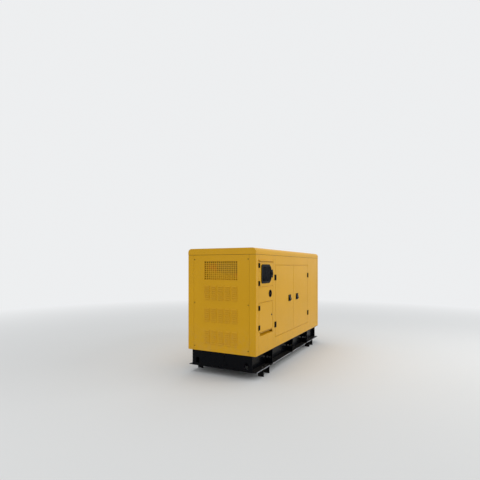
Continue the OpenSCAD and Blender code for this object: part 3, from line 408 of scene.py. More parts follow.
def add_round(bm, place, radius, height, segments, top=None):
    """A cylinder or cone that stands on the place and rises along its Z axis."""
    return bmesh.ops.create_cone(
        bm, cap_ends=True, segments=segments, radius1=radius,
        radius2=radius if top is None else top, depth=height,
        matrix=place @ Matrix.Translation((0, 0, height / 2)),
    )["verts"]


def lathe(profile, segments):
    """A shape turned about the Z axis, through points of radius and height."""
    def build(bm):
        verts = [bm.verts.new((radius, 0, height)) for radius, height in profile]
        edges = [bm.edges.new(pair) for pair in zip(verts, verts[1:])]
        bmesh.ops.spin(
            bm, geom=verts + edges, cent=(0, 0, 0), axis=(0, 0, 1), angle=FULL_TURN,
            steps=segments, use_merge=True, use_duplicate=False,
        )
        bmesh.ops.remove_doubles(bm, verts=bm.verts[:], dist=1e-6)
    return build


def add_tube(bm, start, direction, radius, steps, segments):
    """A tube that goes straight or takes quarter turns step by step, closed at both ends."""
    heading = direction
    point = Vector(start)
    ring = bmesh.ops.create_circle(bm, cap_ends=False, segments=segments, radius=radius,
                                   matrix=facing(point, heading))["verts"]
    edges = list({e for v in ring for e in v.link_edges})
    for kind, amount, *towards in steps:
        if kind == "go":
            made = bmesh.ops.extrude_edge_only(bm, edges=edges)["geom"]
            ring = [g for g in made if isinstance(g, bmesh.types.BMVert)]
            edges = [g for g in made if isinstance(g, bmesh.types.BMEdge) and g.is_boundary]
            bmesh.ops.translate(bm, vec=heading * amount, verts=ring)
            point += heading * amount
        else:
            towards = Vector(towards)
            centre = point + towards * amount
            axis = heading.cross(towards).normalized()
            made = bmesh.ops.spin(
                bm, geom=list({v for e in edges for v in e.verts}) + edges, cent=centre, axis=axis,
                angle=QUARTER_TURN, steps=7, use_duplicate=False,
            )["geom_last"]
            edges = [g for g in made if isinstance(g, bmesh.types.BMEdge)]
            turn = Matrix.Rotation(QUARTER_TURN, 3, axis)
            point = centre + turn @ (point - centre)
            heading = turn @ heading
    bmesh.ops.holes_fill(bm, edges=[e for e in bm.edges if e.is_boundary], sides=0)
    bmesh.ops.recalc_face_normals(bm, faces=bm.faces)


def hex_bolt(size):
    """A flanged hex bolt head that stands on the origin, for a thread of this size."""
    def build(bm):
        flange_h = size * 0.2
        add_round(bm, Matrix.Identity(4), size * 1.15, flange_h, 20)
        stand = Matrix.Translation((0, 0, flange_h))
        head = add_round(bm, stand, size * 0.92, size * 0.55, 6, size * 0.88)
        round_edges(bm, head, size * 0.08)
    return build


def pan_screw(size):
    """A round screw head with a socket in it."""
    def build(bm):
        verts = add_round(bm, Matrix.Identity(4), size, size * 0.6, 16, size * 0.8)
        top = max({f for v in verts for f in v.link_faces}, key=lambda f: f.calc_center_median().z)
        bmesh.ops.inset_individual(bm, faces=[top], thickness=size * 0.36)
        bmesh.ops.translate(bm, vec=(0, 0, -size * 0.3), verts=top.verts)
    return build


def washer_pin(size):
    """The dished washer that holds a lining on its pin."""
    return lathe([
        (0, 0), (size, 0), (size, size * 0.08), (size * 0.4, size * 0.2),
        (size * 0.16, size * 0.2), (size * 0.16, size * 0.42), (0, size * 0.45),
    ], 16)


def stamp(build, places, bm=None):
    """One mesh with a copy of the built shape at each place."""
    template = bmesh.new()
    build(template)
    bmesh.ops.recalc_face_normals(template, faces=template.faces)
    mesh = bpy.data.meshes.new("template")
    template.to_mesh(mesh)
    template.free()
    whole = bm or bmesh.new()
    for place in places:
        copy = mesh.copy()
        copy.transform(place)
        whole.from_mesh(copy)
        bpy.data.meshes.remove(copy)
    bpy.data.meshes.remove(mesh)
    return whole


def place_piece(name, bm, finish, body="enclosure", smooth=35):
    """Makes the mesh an object at the origin that rides on its body."""
    mesh = bpy.data.meshes.new(name)
    bm.to_mesh(mesh)
    bm.free()
    mesh.shade_smooth()
    mesh.set_sharp_from_angle(angle=math.radians(smooth))
    mesh.materials.append(FINISHES[finish].material)
    piece = bpy.data.objects.new(name, mesh)
    bpy.context.scene.collection.objects.link(piece)
    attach(piece, body)


# Settings

def colour_setting(name, description, default):
    return bpy.props.FloatVectorProperty(
        name=name, description=description, subtype="COLOR", default=default, min=0, max=1,
    )


def length_setting(name, description, default, low, high):
    return bpy.props.FloatProperty(
        name=name, description=description, unit="LENGTH", default=default, min=low, max=high,
    )


def watts_setting(name, description, default):
    return bpy.props.FloatProperty(
        name=name, description=f"Power of the lamp {description}, in watts", default=default, min=0, max=1000,
    )


class GensetPaint(bpy.types.PropertyGroup):
    enclosure: colour_setting("Enclosure", "Powder coat of the enclosure", (0.70, 0.362, 0.005))
    skid: colour_setting("Skid", "Enamel of the skid and its feet", (0.0018, 0.0022, 0.0034))
    fitting: colour_setting("Fittings", "Hinges, latches and the window frame", (0.003, 0.003, 0.003))
    machine: colour_setting("Machine", "Alternator and gearbox", (0.045, 0.085, 0.105))
    cabinet: colour_setting("Cabinet", "Control cabinet", (0.33, 0.34, 0.34))
    dust: colour_setting("Dust", "Dust on ledges and near the floor", (0.33, 0.28, 0.22))
    glass_cover: bpy.props.FloatProperty(
        name="Glass tint", description="How much of the view the window's tint covers",
        subtype="FACTOR", default=0.94, min=0, max=1,
    )
    paint_edge: length_setting("Paint edge", "Radius of the paint over sheet edges", 0.0018, 0.0005, 0.004)


class GensetFasteners(bpy.types.PropertyGroup):
    end_bolt: length_setting("End panel bolt", "Thread size of the end panel bolts", 0.0065, 0.005, 0.016)
    end_bolt_inset: length_setting(
        "End bolt inset", "From the end panel's edge to its bolts", 0.015, 0.01, 0.03,
    )
    end_bolt_height: length_setting(
        "End bolt height", "From the end panel's top and foot to its outer bolts", 0.062, 0.03, 0.2,
    )
    foot_bolt: length_setting("Foot bolt", "Thread size of the bolts that hold the feet", 0.016, 0.01, 0.024)
    cover_bolt: length_setting("Cover bolt", "Thread size of the tank cover's bolts", 0.008, 0.005, 0.012)
    hinge_screw: length_setting(
        "Hinge screw", "Head radius of the hinge and latch screws", 0.005, 0.003, 0.008,
    )
    machine_bolt: length_setting(
        "Machine bolt", "Thread size of the machine's flange bolts", 0.010, 0.006, 0.016,
    )
    weld: length_setting("Weld", "Radius of the weld beads on the skid", 0.004, 0.002, 0.008)


class GensetLining(bpy.types.PropertyGroup):
    door_pad: length_setting("Door lining", "Thickness of the foam on the doors", 0.015, 0.005, 0.018)
    wall_pad: length_setting("Wall lining", "Thickness of the foam on the walls and roof", 0.030, 0.01, 0.035)
    pin_pitch: length_setting("Pin pitch", "Distance between the pins that hold the foam", 0.26, 0.1, 0.5)
    seal: length_setting("Door seal", "Radius of the rubber bulb round a doorway", 0.0047, 0.002, 0.0049)


class GensetStage(bpy.types.PropertyGroup):
    eye: bpy.props.FloatVectorProperty(
        name="Camera place", description="Where the photograph was taken from",
        subtype="TRANSLATION", unit="LENGTH", default=(-6.047, -2.647, 1.555),
    )
    heading: bpy.props.FloatProperty(
        name="Camera heading", description="Turn of the level camera about the upright axis",
        subtype="ANGLE", default=-1.0938,
    )
    lens: bpy.props.FloatProperty(
        name="Lens", description="Focal length on a 36 mm sensor, in millimetres", default=27.83,
    )
    rise: bpy.props.FloatProperty(
        name="Lens rise", description="Upward shift that keeps the uprights parallel", default=0.0545,
    )
    sky: bpy.props.FloatProperty(
        name="Sky", description="Strength of the even light from all round", default=0.66, min=0, max=2,
    )
    key: watts_setting("Key lamp", "over the control side", 160.0)
    fill: watts_setting("Fill lamp", "before the louvred end", 30.0)
    top: watts_setting("Top lamp", "over the roof", 120.0)
    floor: colour_setting("Floor", "Colour of the studio floor", (0.74, 0.74, 0.73))
    backdrop: colour_setting("Backdrop", "Colour behind the floor", (0.85, 0.86, 0.87))
    fade_start: length_setting("Fade start", "Where the floor begins to fade out", 3.0, 1.0, 40.0)
    fade_end: length_setting("Fade end", "Where the floor has become the backdrop", 11.0, 1.0, 40.0)
    reach: length_setting("Floor reach", "Half the width of the floor", 40.0, 5.0, 100.0)


# Places that several pieces share

SHEET = 0.003
LEAF = 0.004
PLATE_T = 0.008
GUSSETS = (0.590, 1.490, 2.300)
GUSSET_T = 0.008
LATCH_FROM_SEAM = 0.186
LATCH_W = 0.115
LATCH_H = 0.104
DISH_D = 0.020
WINDOW_BORDER = 0.024
WINDOW_CUT = (0.068, 0.046)
WINDOW_R = 0.042
LINING_GAP = 0.0003
# From a door's top and foot to its hinges, from the pin to the screws of the door's leaf and of the
# wall's leaf, and half the distance between the two screws of a leaf
HINGES = {
    "main_door_left": (0.184, 0.0226, 0.0226, 0.028),
    "main_door_right": (0.184, 0.0226, 0.0226, 0.028),
    "control_door": (0.048, 0.0211, 0.0151, 0.021),
    "terminal_door": (0.066, 0.0211, 0.0151, 0.021),
}

wall_low, wall_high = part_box("corner_posts")
main_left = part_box("main_door_left")
main_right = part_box("main_door_right")
control_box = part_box("control_door")
terminal_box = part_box("terminal_door")
main_seam = (main_left[1].x + main_right[0].x) / 2
latch_z = (main_left[0].z + main_left[1].z) / 2
MAIN_LATCHES = {
    "main_door_left": main_seam - LATCH_FROM_SEAM,
    "main_door_right": main_seam + LATCH_FROM_SEAM,
}


def on_wall(x, z, out=0.0, side=-1):
    """A place on the control side's face, or on the far side's, that looks outwards."""
    return facing((x, side * (wall_high.y + out), z), (0, side, 0))


def add_pad(bm, pins, low, high, out, pin_pitch):
    """Adds a foam pad between two corners, dimpled at its pins, and lists the pins' places."""
    low = Vector(low)
    high = Vector(high)
    size = high - low
    across = [i for i in range(3) if abs(out[i]) < 0.5]
    deep = next(i for i in range(3) if abs(out[i]) > 0.5)
    wide, tall, thick = size[across[0]], size[across[1]], size[deep]
    cell = 0.02
    turn = Matrix.Diagonal((0, 0, 0, 1))
    for column, axis in enumerate((*across, deep)):
        turn[axis][column] = 1.0 if column < 2 else out[deep]
    back = (low + high) / 2
    back[deep] = low[deep] if out[deep] > 0 else high[deep]
    shape = bmesh.new()
    bmesh.ops.create_grid(
        shape, x_segments=max(int(wide / cell), 4), y_segments=max(int(tall / cell), 4), size=0.5,
        matrix=Matrix.Diagonal((wide, tall, 1, 1)),
    )
    bmesh.ops.solidify(shape, geom=shape.faces[:], thickness=-thick)
    columns = max(round(wide / pin_pitch), 1)
    rows = max(round(tall / pin_pitch), 1)
    spots = [
        Vector(((i + 0.5) / columns * wide - wide / 2, (j + 0.5) / rows * tall - tall / 2))
        for i in range(columns) for j in range(rows)
    ]
    dimple = thick * 0.3
    dimple_r = 0.035
    rim_drop = thick * 0.35
    rim_w = 0.018
    for vert in shape.verts:
        if vert.co.z < thick / 2:
            continue
        near = min((vert.co.xy - spot).length for spot in spots)
        rim = min(wide / 2 - abs(vert.co.x), tall / 2 - abs(vert.co.y))
        vert.co.z -= dimple * math.exp(-(near / dimple_r) ** 2) + rim_drop * max(0.0, 1 - rim / rim_w) ** 2
    place = Matrix.Translation(back) @ turn
    bmesh.ops.transform(shape, matrix=place, verts=shape.verts[:])
    bmesh.ops.recalc_face_normals(shape, faces=shape.faces[:])
    mesh = bpy.data.meshes.new("pad")
    shape.to_mesh(mesh)
    shape.free()
    bm.from_mesh(mesh)
    bpy.data.meshes.remove(mesh)
    pins += [facing(place @ Vector((*spot, thick - dimple)), out) for spot in spots]


def door_pads(box, latch_x, sign, thick, side=-1):
    """Boxes of the foam pads on one main door: beside the stiffener and above and below the latch."""
    low, high = box
    outer_x, inner_x = (low.x, high.x) if sign > 0 else (high.x, low.x)
    rib_x = (outer_x + latch_x) / 2
    rib = 0.036
    rim = 0.008
    keep = 0.075
    face = wall_high.y - SHEET - LINING_GAP
    ys = sorted((side * face, side * (face - thick)))
    beside = sorted((outer_x + sign * rim, rib_x - sign * rib))
    behind = sorted((rib_x + sign * rib, inner_x - sign * rim))
    spans = (
        (beside, (low.z + rim, high.z - rim)), (behind, (latch_z + keep, high.z - rim)),
        (behind, (low.z + rim, latch_z - keep)),
    )
    return [((xs[0], ys[0], zs[0]), (xs[1], ys[1], zs[1])) for xs, zs in spans]


# Operators

class GENSET_OT_finishes(bpy.types.Operator):
    """Makes every finish and puts it on the solid pieces"""
    bl_idname = "genset.finishes"
    bl_label = "Finishes"

    def execute(self, context):
        paint = context.scene.genset_paint
        enclosure_paint(paint)
        # The grille's bars get the enclosure's coat made 3 % darker: painted shade.
        enclosure_paint(paint, "grille_paint_shaded", 0.97)
        skid_paint(paint)
        black_fitting(paint)
        baffle_paint(paint)
        inner_plate(paint)
        textured_paint("cabinet_paint", paint.cabinet[:3], 0.9, 420.0)
        textured_paint("machine_paint", paint.machine[:3], 0.55, 240.0)
        # Sealer in the enclosure's colour at 42 %: the paint in shade, painted shade of the seams.
        textured_paint("joint_sealer_shade", shade(paint.enclosure, 0.42), 0.9, 300.0)
        casing_steel()
        plain_metal("copper", (0.62, 0.28, 0.14), 0.28, 160.0)
        plain_metal("bright_metal", (0.72, 0.72, 0.7), 0.22, 240.0)
        plain_metal("dark_steel", (0.11, 0.105, 0.1), 0.4, 240.0)
        # A darker copy of the bright metal for the key cylinders: painted shade.
        plain_metal("key_metal_shaded", (0.33, 0.32, 0.3), 0.35, 240.0)
        dark_glass(paint)
        rubber()
        foam()
        moulded("black_plastic", (0.006, 0.006, 0.0065), 0.4)
        moulded("grey_plastic", (0.2, 0.2, 0.21), 0.45)
        moulded("red_plastic", (0.3, 0.012, 0.008), 0.32)
        # The stop cap's red plastic, darkened nearly to black: painted shade.
        moulded("shaded_red_plastic", (0.022, 0.003, 0.003), 0.5)
        moulded("white_plastic", (0.7, 0.7, 0.68), 0.4)
        glowing("display", (0.03, 0.09, 0.1), 0.35)
        glowing("green_lamp", (0.02, 0.4, 0.05), 0.5)
        own = {"baffle_left": "baffle_paint", "baffle_right": "baffle_paint", "grille": "grille_paint_shaded",
               "terminal_board": "black_plastic", "terminal_lock": "dark_steel"}
        for part in frame["record"]["subparts"]:
            slot_name = part["material_slot"]
            finish = own.get(part["node"], own.get(slot_name, slot_name))
            for slot in NODES[part["node"]].material_slots:
                slot.material = FINISHES[finish].material
        return {"FINISHED"}


class GENSET_OT_end_bolts(bpy.types.Operator):
    """Bolts that hold the end panels"""
    bl_idname = "genset.end_bolts"
    bl_label = "End panel bolts"

    def execute(self, context):
        sizes = context.scene.genset_fasteners
        places = []
        for node, side in (("end_panel_left", -1), ("end_panel_right", 1)):
            low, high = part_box(node)
            middle = (low.z + high.z) / 2
            face = wall_high.x * side
            for y in (low.y + sizes.end_bolt_inset, high.y - sizes.end_bolt_inset):
                for z in (low.z + sizes.end_bolt_height, middle, high.z - sizes.end_bolt_height):
                    places.append(facing((face, y, z), (side, 0, 0)))
        bm = stamp(hex_bolt(sizes.end_bolt), places)
        place_piece("end_panel_bolts", bm, "black_fitting")
        return {"FINISHED"}


class GENSET_OT_skid_fasteners(bpy.types.Operator):
    """Bolts of the feet and of the tank cover"""
    bl_idname = "genset.skid_fasteners"
    bl_label = "Skid bolts"

    def execute(self, context):
        sizes = context.scene.genset_fasteners
        low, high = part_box("feet")
        rail_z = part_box("rail_front")[0].z
        foot_half = 0.105
        bolt_x = 0.055
        bolt_in = 0.045
        places = [
            facing((x + shift, side * (high.y - bolt_in), rail_z + up * PLATE_T), up * Z_AXIS)
            for up in (1, -1) for x in (low.x + foot_half, high.x - foot_half)
            for side in (-1, 1) for shift in (-bolt_x, bolt_x)
        ]
        place_piece("foot_bolts", stamp(hex_bolt(sizes.foot_bolt), places), "dark_steel")
        low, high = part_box("tank_cover")
        inset = 0.014
        places = [
            facing((low.x, low.y + inset + (high.y - low.y - 2 * inset) * i / 3, z), -X_AXIS)
            for i in range(4) for z in (low.z + inset, high.z - inset)
        ]
        place_piece("cover_bolts", stamp(hex_bolt(sizes.cover_bolt), places), "skid_paint")
        return {"FINISHED"}


class GENSET_OT_skid_welds(bpy.types.Operator):
    """Weld beads round the gusset plates of the rails"""
    bl_idname = "genset.skid_welds"
    bl_label = "Skid welds"

    def execute(self, context):
        radius = context.scene.genset_fasteners.weld
        low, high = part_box("rail_front")
        web = high.y - PLATE_T
        foot = low.z + PLATE_T
        top = high.z - PLATE_T
        flange_in = 0.006
        ripple_l = 0.006
        ripple_r = radius * 0.86

        def bead(length):
            count = max(int(length / ripple_l), 2)
            ripple = [(radius if i % 2 else ripple_r, length * i / count) for i in range(count + 1)]
            return lathe([(0, 0), *ripple, (0, length)], 8)

        bm = bmesh.new()
        for station in GUSSETS:
            for face in (-1, 1):
                x = wall_low.x + station + face * GUSSET_T / 2
                for side in (-1, 1):
                    stamp(bead(top - foot), [facing((x, -side * web, foot), Z_AXIS)], bm)
                    out = [facing((x, -side * web, z), (0, side, 0)) for z in (foot, top)]
                    stamp(bead(web - low.y - flange_in), out, bm)
        place_piece("gusset_welds", bm, "skid_paint", smooth=60)
        return {"FINISHED"}


class GENSET_OT_panel_joints(bpy.types.Operator):
    """Sealer in the joints between neighbouring wall panels, coloured as the enclosure paint in shade: partly
    painted shade of the seams
    """
    bl_idname = "genset.panel_joints"
    bl_label = "Panel joints"

    def execute(self, context):
        half = 0.001
        proud = 0.0004
        face = wall_low.y
        lines = []
        for node in ("front_header", "front_sill", "control_header", "control_middle_panel",
                     "control_lower_panel"):
            low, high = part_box(node)
            lines += [(low.x, low.z, high.z), (high.x, low.z, high.z)]
        low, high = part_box("front_right_panel")
        lines.append((high.x, low.z, high.z))
        bm = bmesh.new()
        for x, z0, z1 in lines:
            add_box(bm, (x - half, face - proud, z0), (x + half, face + proud, z1))
        low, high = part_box("rear_wall")
        for x in (low.x, high.x):
            add_box(bm, (x - half, -face - proud, low.z), (x + half, -face + proud, high.z))
        place_piece("panel_joints", bm, "joint_sealer_shade")
        return {"FINISHED"}


class GENSET_OT_hinge_screws(bpy.types.Operator):
    """Screws in the leaves of every hinge"""
    bl_idname = "genset.hinge_screws"
    bl_label = "Hinge screws"

    def execute(self, context):
        size = context.scene.genset_fasteners.hinge_screw
        groups = {"enclosure": []}
        for door, (inset, leaf, wall_leaf, pitch) in HINGES.items():
            low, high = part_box(door)
            pin_x = JOINTS[door]["pos_m"][0]
            side = -1 if door == "main_door_right" else 1
            places = groups.setdefault(door, [])
            for middle in (low.z + inset, high.z - inset):
                for z in (middle - pitch, middle + pitch):
                    places.append(on_wall(pin_x + side * leaf, z, LEAF))
                    groups["enclosure"].append(on_wall(pin_x - side * wall_leaf, z, LEAF))
                    if door.startswith("main"):
                        groups["enclosure"] += [on_wall(pin_x + x, z, LEAF, 1) for x in (-leaf, leaf)]
        for body, places in groups.items():
            bm = stamp(pan_screw(size), places)
            place_piece(f"{body}_hinge_screws", bm, "dark_steel", body)
        return {"FINISHED"}


class GENSET_OT_latch_parts(bpy.types.Operator):
    """Key cylinders, screws, cases and locking rods of the paddle latches"""
    bl_idname = "genset.latch_parts"
    bl_label = "Latch parts"

    def execute(self, context):
        screw = context.scene.genset_fasteners.hinge_screw * 0.8
        corner_in = 0.0065
        key_x = 0.008
        key_z = -0.006
        key_out = 0.0135
        key_l = 0.008
        slit = Vector((0.0008, 0.0006, 0.004))
        case_w = 0.03
        case_h = 0.032
        case_t = 0.007
        rod_r = 0.004
        rod_in = 0.0235
        rod_start = 0.028
        end_play = 0.0005
        guide = 0.012
        guide_in = 0.006
        cylinder = lathe([(0, 0), (0.0095, 0), (0.0095, 0.004), (0.008, 0.0055), (0.008, key_l),
                          (0.0072, key_l + 0.0008), (0, key_l + 0.0008)], 24)
        for body, side in (("main_door_left", -1), ("main_door_right", -1), ("enclosure", 1)):
            xs = [MAIN_LATCHES[body]] if side < 0 else MAIN_LATCHES.values()
            back = side * (wall_high.y - DISH_D)
            case_y = sorted((back, back - side * case_t))
            rod_y = side * (wall_high.y - rod_in)
            guide_y = sorted((rod_y - side * guide_in, side * (wall_high.y - SHEET)))
            screws = []
            keys = []
            small = bmesh.new()
            rods = bmesh.new()
            for x in xs:
                screws += [
                    on_wall(x + sx * (LATCH_W / 2 - corner_in), latch_z + sz * (LATCH_H / 2 - corner_in),
                            LEAF, side)
                    for sx in (-1, 1) for sz in (-1, 1)
                ]
                keys.append(on_wall(x + key_x, latch_z + key_z, key_out, side))
                out = side * (wall_high.y + key_out + key_l + 0.001)
                mouth = Vector((x + key_x, out, latch_z + key_z))
                add_box(small, mouth - slit, mouth + slit)
                add_box(rods, (x - case_w, case_y[0], latch_z - case_h),
                        (x + case_w, case_y[1], latch_z + case_h), 0.002)
                for sz, end in ((1, main_left[1].z), (-1, main_left[0].z)):
                    start = latch_z + sz * rod_start
                    length = abs(end - start) - SHEET - end_play
                    add_round(rods, facing((x, rod_y, start), (0, 0, sz)), rod_r, length, 16)
                    for part in (0.45, 0.94):
                        z = start + sz * length * part
                        add_box(rods, (x - guide, guide_y[0], z - guide),
                                (x + guide, guide_y[1], z + guide), 0.002)
            stamp(pan_screw(screw), screws, small)
            name = body if side < 0 else "rear_door"
            place_piece(f"{name}_latch_screws", small, "black_plastic", body)
            # The key cylinders get the darkened metal: painted shade.
            place_piece(f"{name}_key_cylinder", stamp(cylinder, keys), "key_metal_shaded", body)
            place_piece(f"{name}_latch_rods", rods, "bright_metal", body)
        return {"FINISHED"}


class GENSET_OT_window_parts(bpy.types.Operator):
    """Gasket, screws and quarter-turn handle of the control window"""
    bl_idname = "genset.window_parts"
    bl_label = "Window parts"

    def execute(self, context):
        low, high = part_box("window_frame")
        cut_x, cut_z = WINDOW_CUT
        slope = math.atan2(cut_z, cut_x)
        gasket_in = 0.0035
        gasket_t = 0.002
        gasket_w = 0.005
        lap = 0.001
        bm = bmesh.new()
        corners = [bm.verts.new((x, low.y + gasket_in, z)) for x, z in (
            (low.x, low.z), (high.x - cut_x, low.z), (high.x, low.z + cut_z),
            (high.x, high.z - cut_z), (high.x - cut_x, high.z), (low.x, high.z),
        )]
        bm.faces.new(corners)
        for pair, turn in (((0, 5), QUARTER_TURN), ((1, 4), slope), ((2, 3), QUARTER_TURN - slope)):
            bmesh.ops.bevel(bm, geom=[corners[i] for i in pair], offset=WINDOW_R * math.tan(turn / 2),
                            offset_type="OFFSET", affect="VERTICES", segments=6, profile=0.5, material=-1)
        plate = bm.faces[:][0]

        def inset(width):
            return bmesh.ops.inset_region(bm, faces=[plate], thickness=width, use_boundary=True,
                                          use_even_offset=True)["faces"]

        bmesh.ops.delete(bm, geom=inset(WINDOW_BORDER - lap), context="FACES")
        inset(gasket_w)
        bmesh.ops.delete(bm, geom=[plate], context="FACES")
        made = bmesh.ops.extrude_face_region(bm, geom=bm.faces[:])["geom"]
        lifted = [g for g in made if isinstance(g, bmesh.types.BMVert)]
        bmesh.ops.translate(bm, vec=(0, -gasket_t, 0), verts=lifted)
        bmesh.ops.recalc_face_normals(bm, faces=bm.faces[:])
        place_piece("window_gasket", bm, "rubber_seal", "control_door")

        edge = WINDOW_BORDER / 2
        left, right = low.x + edge, high.x - cut_x - edge
        foot, top = low.z + edge, high.z - edge
        middle = (low.z + high.z) / 2
        out = -low.y - wall_high.y
        screws = [on_wall(x, z, out) for x, z in (
            (left, foot), (left, middle), (left, top), ((left + right) / 2, foot),
            ((left + right) / 2, top), (right, foot), (right, top),
        )]
        bm = stamp(pan_screw(0.0038), screws)
        handle_x = high.x + 0.017
        knob = lathe([(0, 0), (0.017, 0), (0.017, 0.003), (0.013, 0.005), (0.013, 0.009), (0, 0.01)], 28)
        stamp(knob, [on_wall(handle_x, middle, out + LEAF)], bm)
        wing = Vector((0.005, 0.005, 0.022))
        wing_out = 0.011
        grip = Vector((handle_x, low.y - LEAF - wing_out, middle))
        add_box(bm, grip - wing, grip + wing, 0.003, 3)
        place_piece("window_handle", bm, "black_plastic", "control_door")
        return {"FINISHED"}


class GENSET_OT_door_seals(bpy.types.Operator):
    """Rubber bulbs and painted flanges round the three doorways, and strips round the far doors"""
    bl_idname = "genset.door_seals"
    bl_label = "Door seals"

    def execute(self, context):
        radius = context.scene.genset_lining.seal
        bulb_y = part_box("door_stops")[0].y - radius
        inset = 0.004
        bend = 0.012
        doorway = (main_left[0], main_right[1])
        for name, (low, high) in (("main", doorway), ("control", control_box), ("terminal", terminal_box)):
            wide = high.x - low.x - 2 * inset - 2 * bend
            tall = high.z - low.z - 2 * inset - 2 * bend
            start = (low.x + inset + bend, bulb_y, low.z + inset)
            bm = bmesh.new()
            add_tube(bm, start, X_AXIS, radius, [
                ("go", wide), ("turn", bend, 0, 0, 1), ("go", tall), ("turn", bend, -1, 0, 0),
                ("go", wide), ("turn", bend, 0, 0, -1), ("go", tall), ("turn", bend, 1, 0, 0),
            ], 10)
            place_piece(f"{name}_doorway_seal", bm, "rubber_seal", smooth=60)

        low, high = doorway
        half = main_right[0].x - main_seam
        gap = 2 * half
        front = wall_high.y - 0.008
        back = wall_high.y - 0.024
        bm = bmesh.new()
        for x0, x1, z0, z1 in (
            (main_seam - half, main_seam + half, low.z, high.z),
            (low.x - gap, low.x, low.z - gap, high.z + gap),
            (high.x, high.x + gap, low.z - gap, high.z + gap),
            (low.x, high.x, low.z - gap, low.z), (low.x, high.x, high.z, high.z + gap),
        ):
            add_box(bm, (x0, back, z0), (x1, front, z1), 0.0015)
        place_piece("rear_doorway_seal", bm, "rubber_seal")

        play = 0.001
        edge = 0.0008
        shallow = wall_low.y + 0.007
        deep = wall_low.y + 0.02
        bm = bmesh.new()
        for (low, high), sides in ((doorway, 4), (control_box, 3), (terminal_box, 2)):
            flanges = (
                (low.x - gap, low.x - play, low.z - gap, high.z + gap),
                (low.x - play, high.x + play, high.z + play, high.z + gap),
                (low.x - play, high.x + play, low.z - gap, low.z - play),
                (high.x + play, high.x + gap, low.z - gap, high.z + gap),
            )
            for x0, x1, z0, z1 in flanges[:sides]:
                add_box(bm, (x0, shallow, z0), (x1, deep, z1), edge)
        place_piece("doorway_flanges", bm, "enclosure_paint")
        low, high = main_left
        swing_play = 0.0015
        bm = bmesh.new()
        add_box(bm, (main_seam - half, shallow, low.z + gap),
                (main_seam + half - swing_play, deep, high.z - gap), edge)
        place_piece("door_overlap", bm, "enclosure_paint", "main_door_left")
        return {"FINISHED"}


class GENSET_OT_linings(bpy.types.Operator):
    """Foam on the doors, walls, baffles and roof, held by washers on pins"""
    bl_idname = "genset.linings"
    bl_label = "Linings"

    def execute(self, context):
        settings = context.scene.genset_lining
        door_pad = settings.door_pad
        thick = settings.wall_pad
        edge = 0.012
        rim = 0.01
        lock_keep = 0.055
        jamb = 0.03
        roof_in = 0.05
        roof_half = 0.48
        roof_joint = 0.002
        bays = 4
        groups = {name: [] for name in ("main_door_left", "rear", "main_door_right", "terminal_door",
                                        "front", "roof", "baffle")}
        for door, box, sign in (("main_door_left", main_left, 1), ("main_door_right", main_right, -1)):
            latch_x = MAIN_LATCHES[door]
            groups[door] += [(pad, Y_AXIS) for pad in door_pads(box, latch_x, sign, door_pad)]
            groups["rear"] += [(pad, -Y_AXIS) for pad in door_pads(box, latch_x, sign, door_pad, 1)]
        low, high = terminal_box
        inner = -wall_high.y + SHEET + LINING_GAP
        pad = ((low.x + rim, inner, low.z + rim), (high.x - lock_keep, inner + door_pad, high.z - rim))
        groups["terminal_door"].append((pad, Y_AXIS))
        low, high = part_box("rear_wall")
        left, right = main_left[0].x - jamb, main_right[1].x + jamb
        foot, top = main_left[0].z - jamb, main_right[1].z + jamb
        for x0, x1, z0, z1 in (
            (low.x + edge, left, low.z + edge, high.z - edge),
            (right, high.x - edge, low.z + edge, high.z - edge),
            (left + edge, right - edge, top, high.z - edge),
            (left + edge, right - edge, low.z + edge, foot),
        ):
            groups["rear"].append((((x0, -inner - thick, z0), (x1, -inner, z1)), -Y_AXIS))
        low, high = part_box("front_right_panel")
        pad = ((low.x + jamb, inner, low.z + edge), (high.x - edge, inner + thick, high.z - edge))
        groups["front"].append((pad, Y_AXIS))
        low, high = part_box("roof")
        ceiling = high.z - SHEET - LINING_GAP
        length = (high.x - low.x - 2 * roof_in) / bays
        for i in range(bays):
            start = low.x + roof_in + i * length
            pad = ((start + roof_joint, -roof_half, ceiling - thick),
                   (start + length - roof_joint, roof_half, ceiling))
            groups["roof"].append((pad, -Z_AXIS))
        for node, out in (("baffle_left", 1), ("baffle_right", -1)):
            low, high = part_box(node)
            face = high.x if out > 0 else low.x
            if out > 0:
                low.y = max(low.y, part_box("bay_partition")[1].y)
            xs = sorted((face + out * LINING_GAP, face + out * (thick + LINING_GAP)))
            pad = ((xs[0], low.y + edge, low.z + edge), (xs[1], high.y - edge, high.z - edge))
            groups["baffle"].append((pad, Vector((out, 0, 0))))
        for name, pads in groups.items():
            body = name if "door" in name else "enclosure"
            bm = bmesh.new()
            pins = []
            for (low, high), out in pads:
                add_pad(bm, pins, low, high, out, settings.pin_pitch)
            place_piece(f"{name}_lining", bm, "acoustic_foam", body, 70)
            bm = stamp(washer_pin(0.014), pins)
            place_piece(f"{name}_lining_pins", bm, "bright_metal", body)
        return {"FINISHED"}


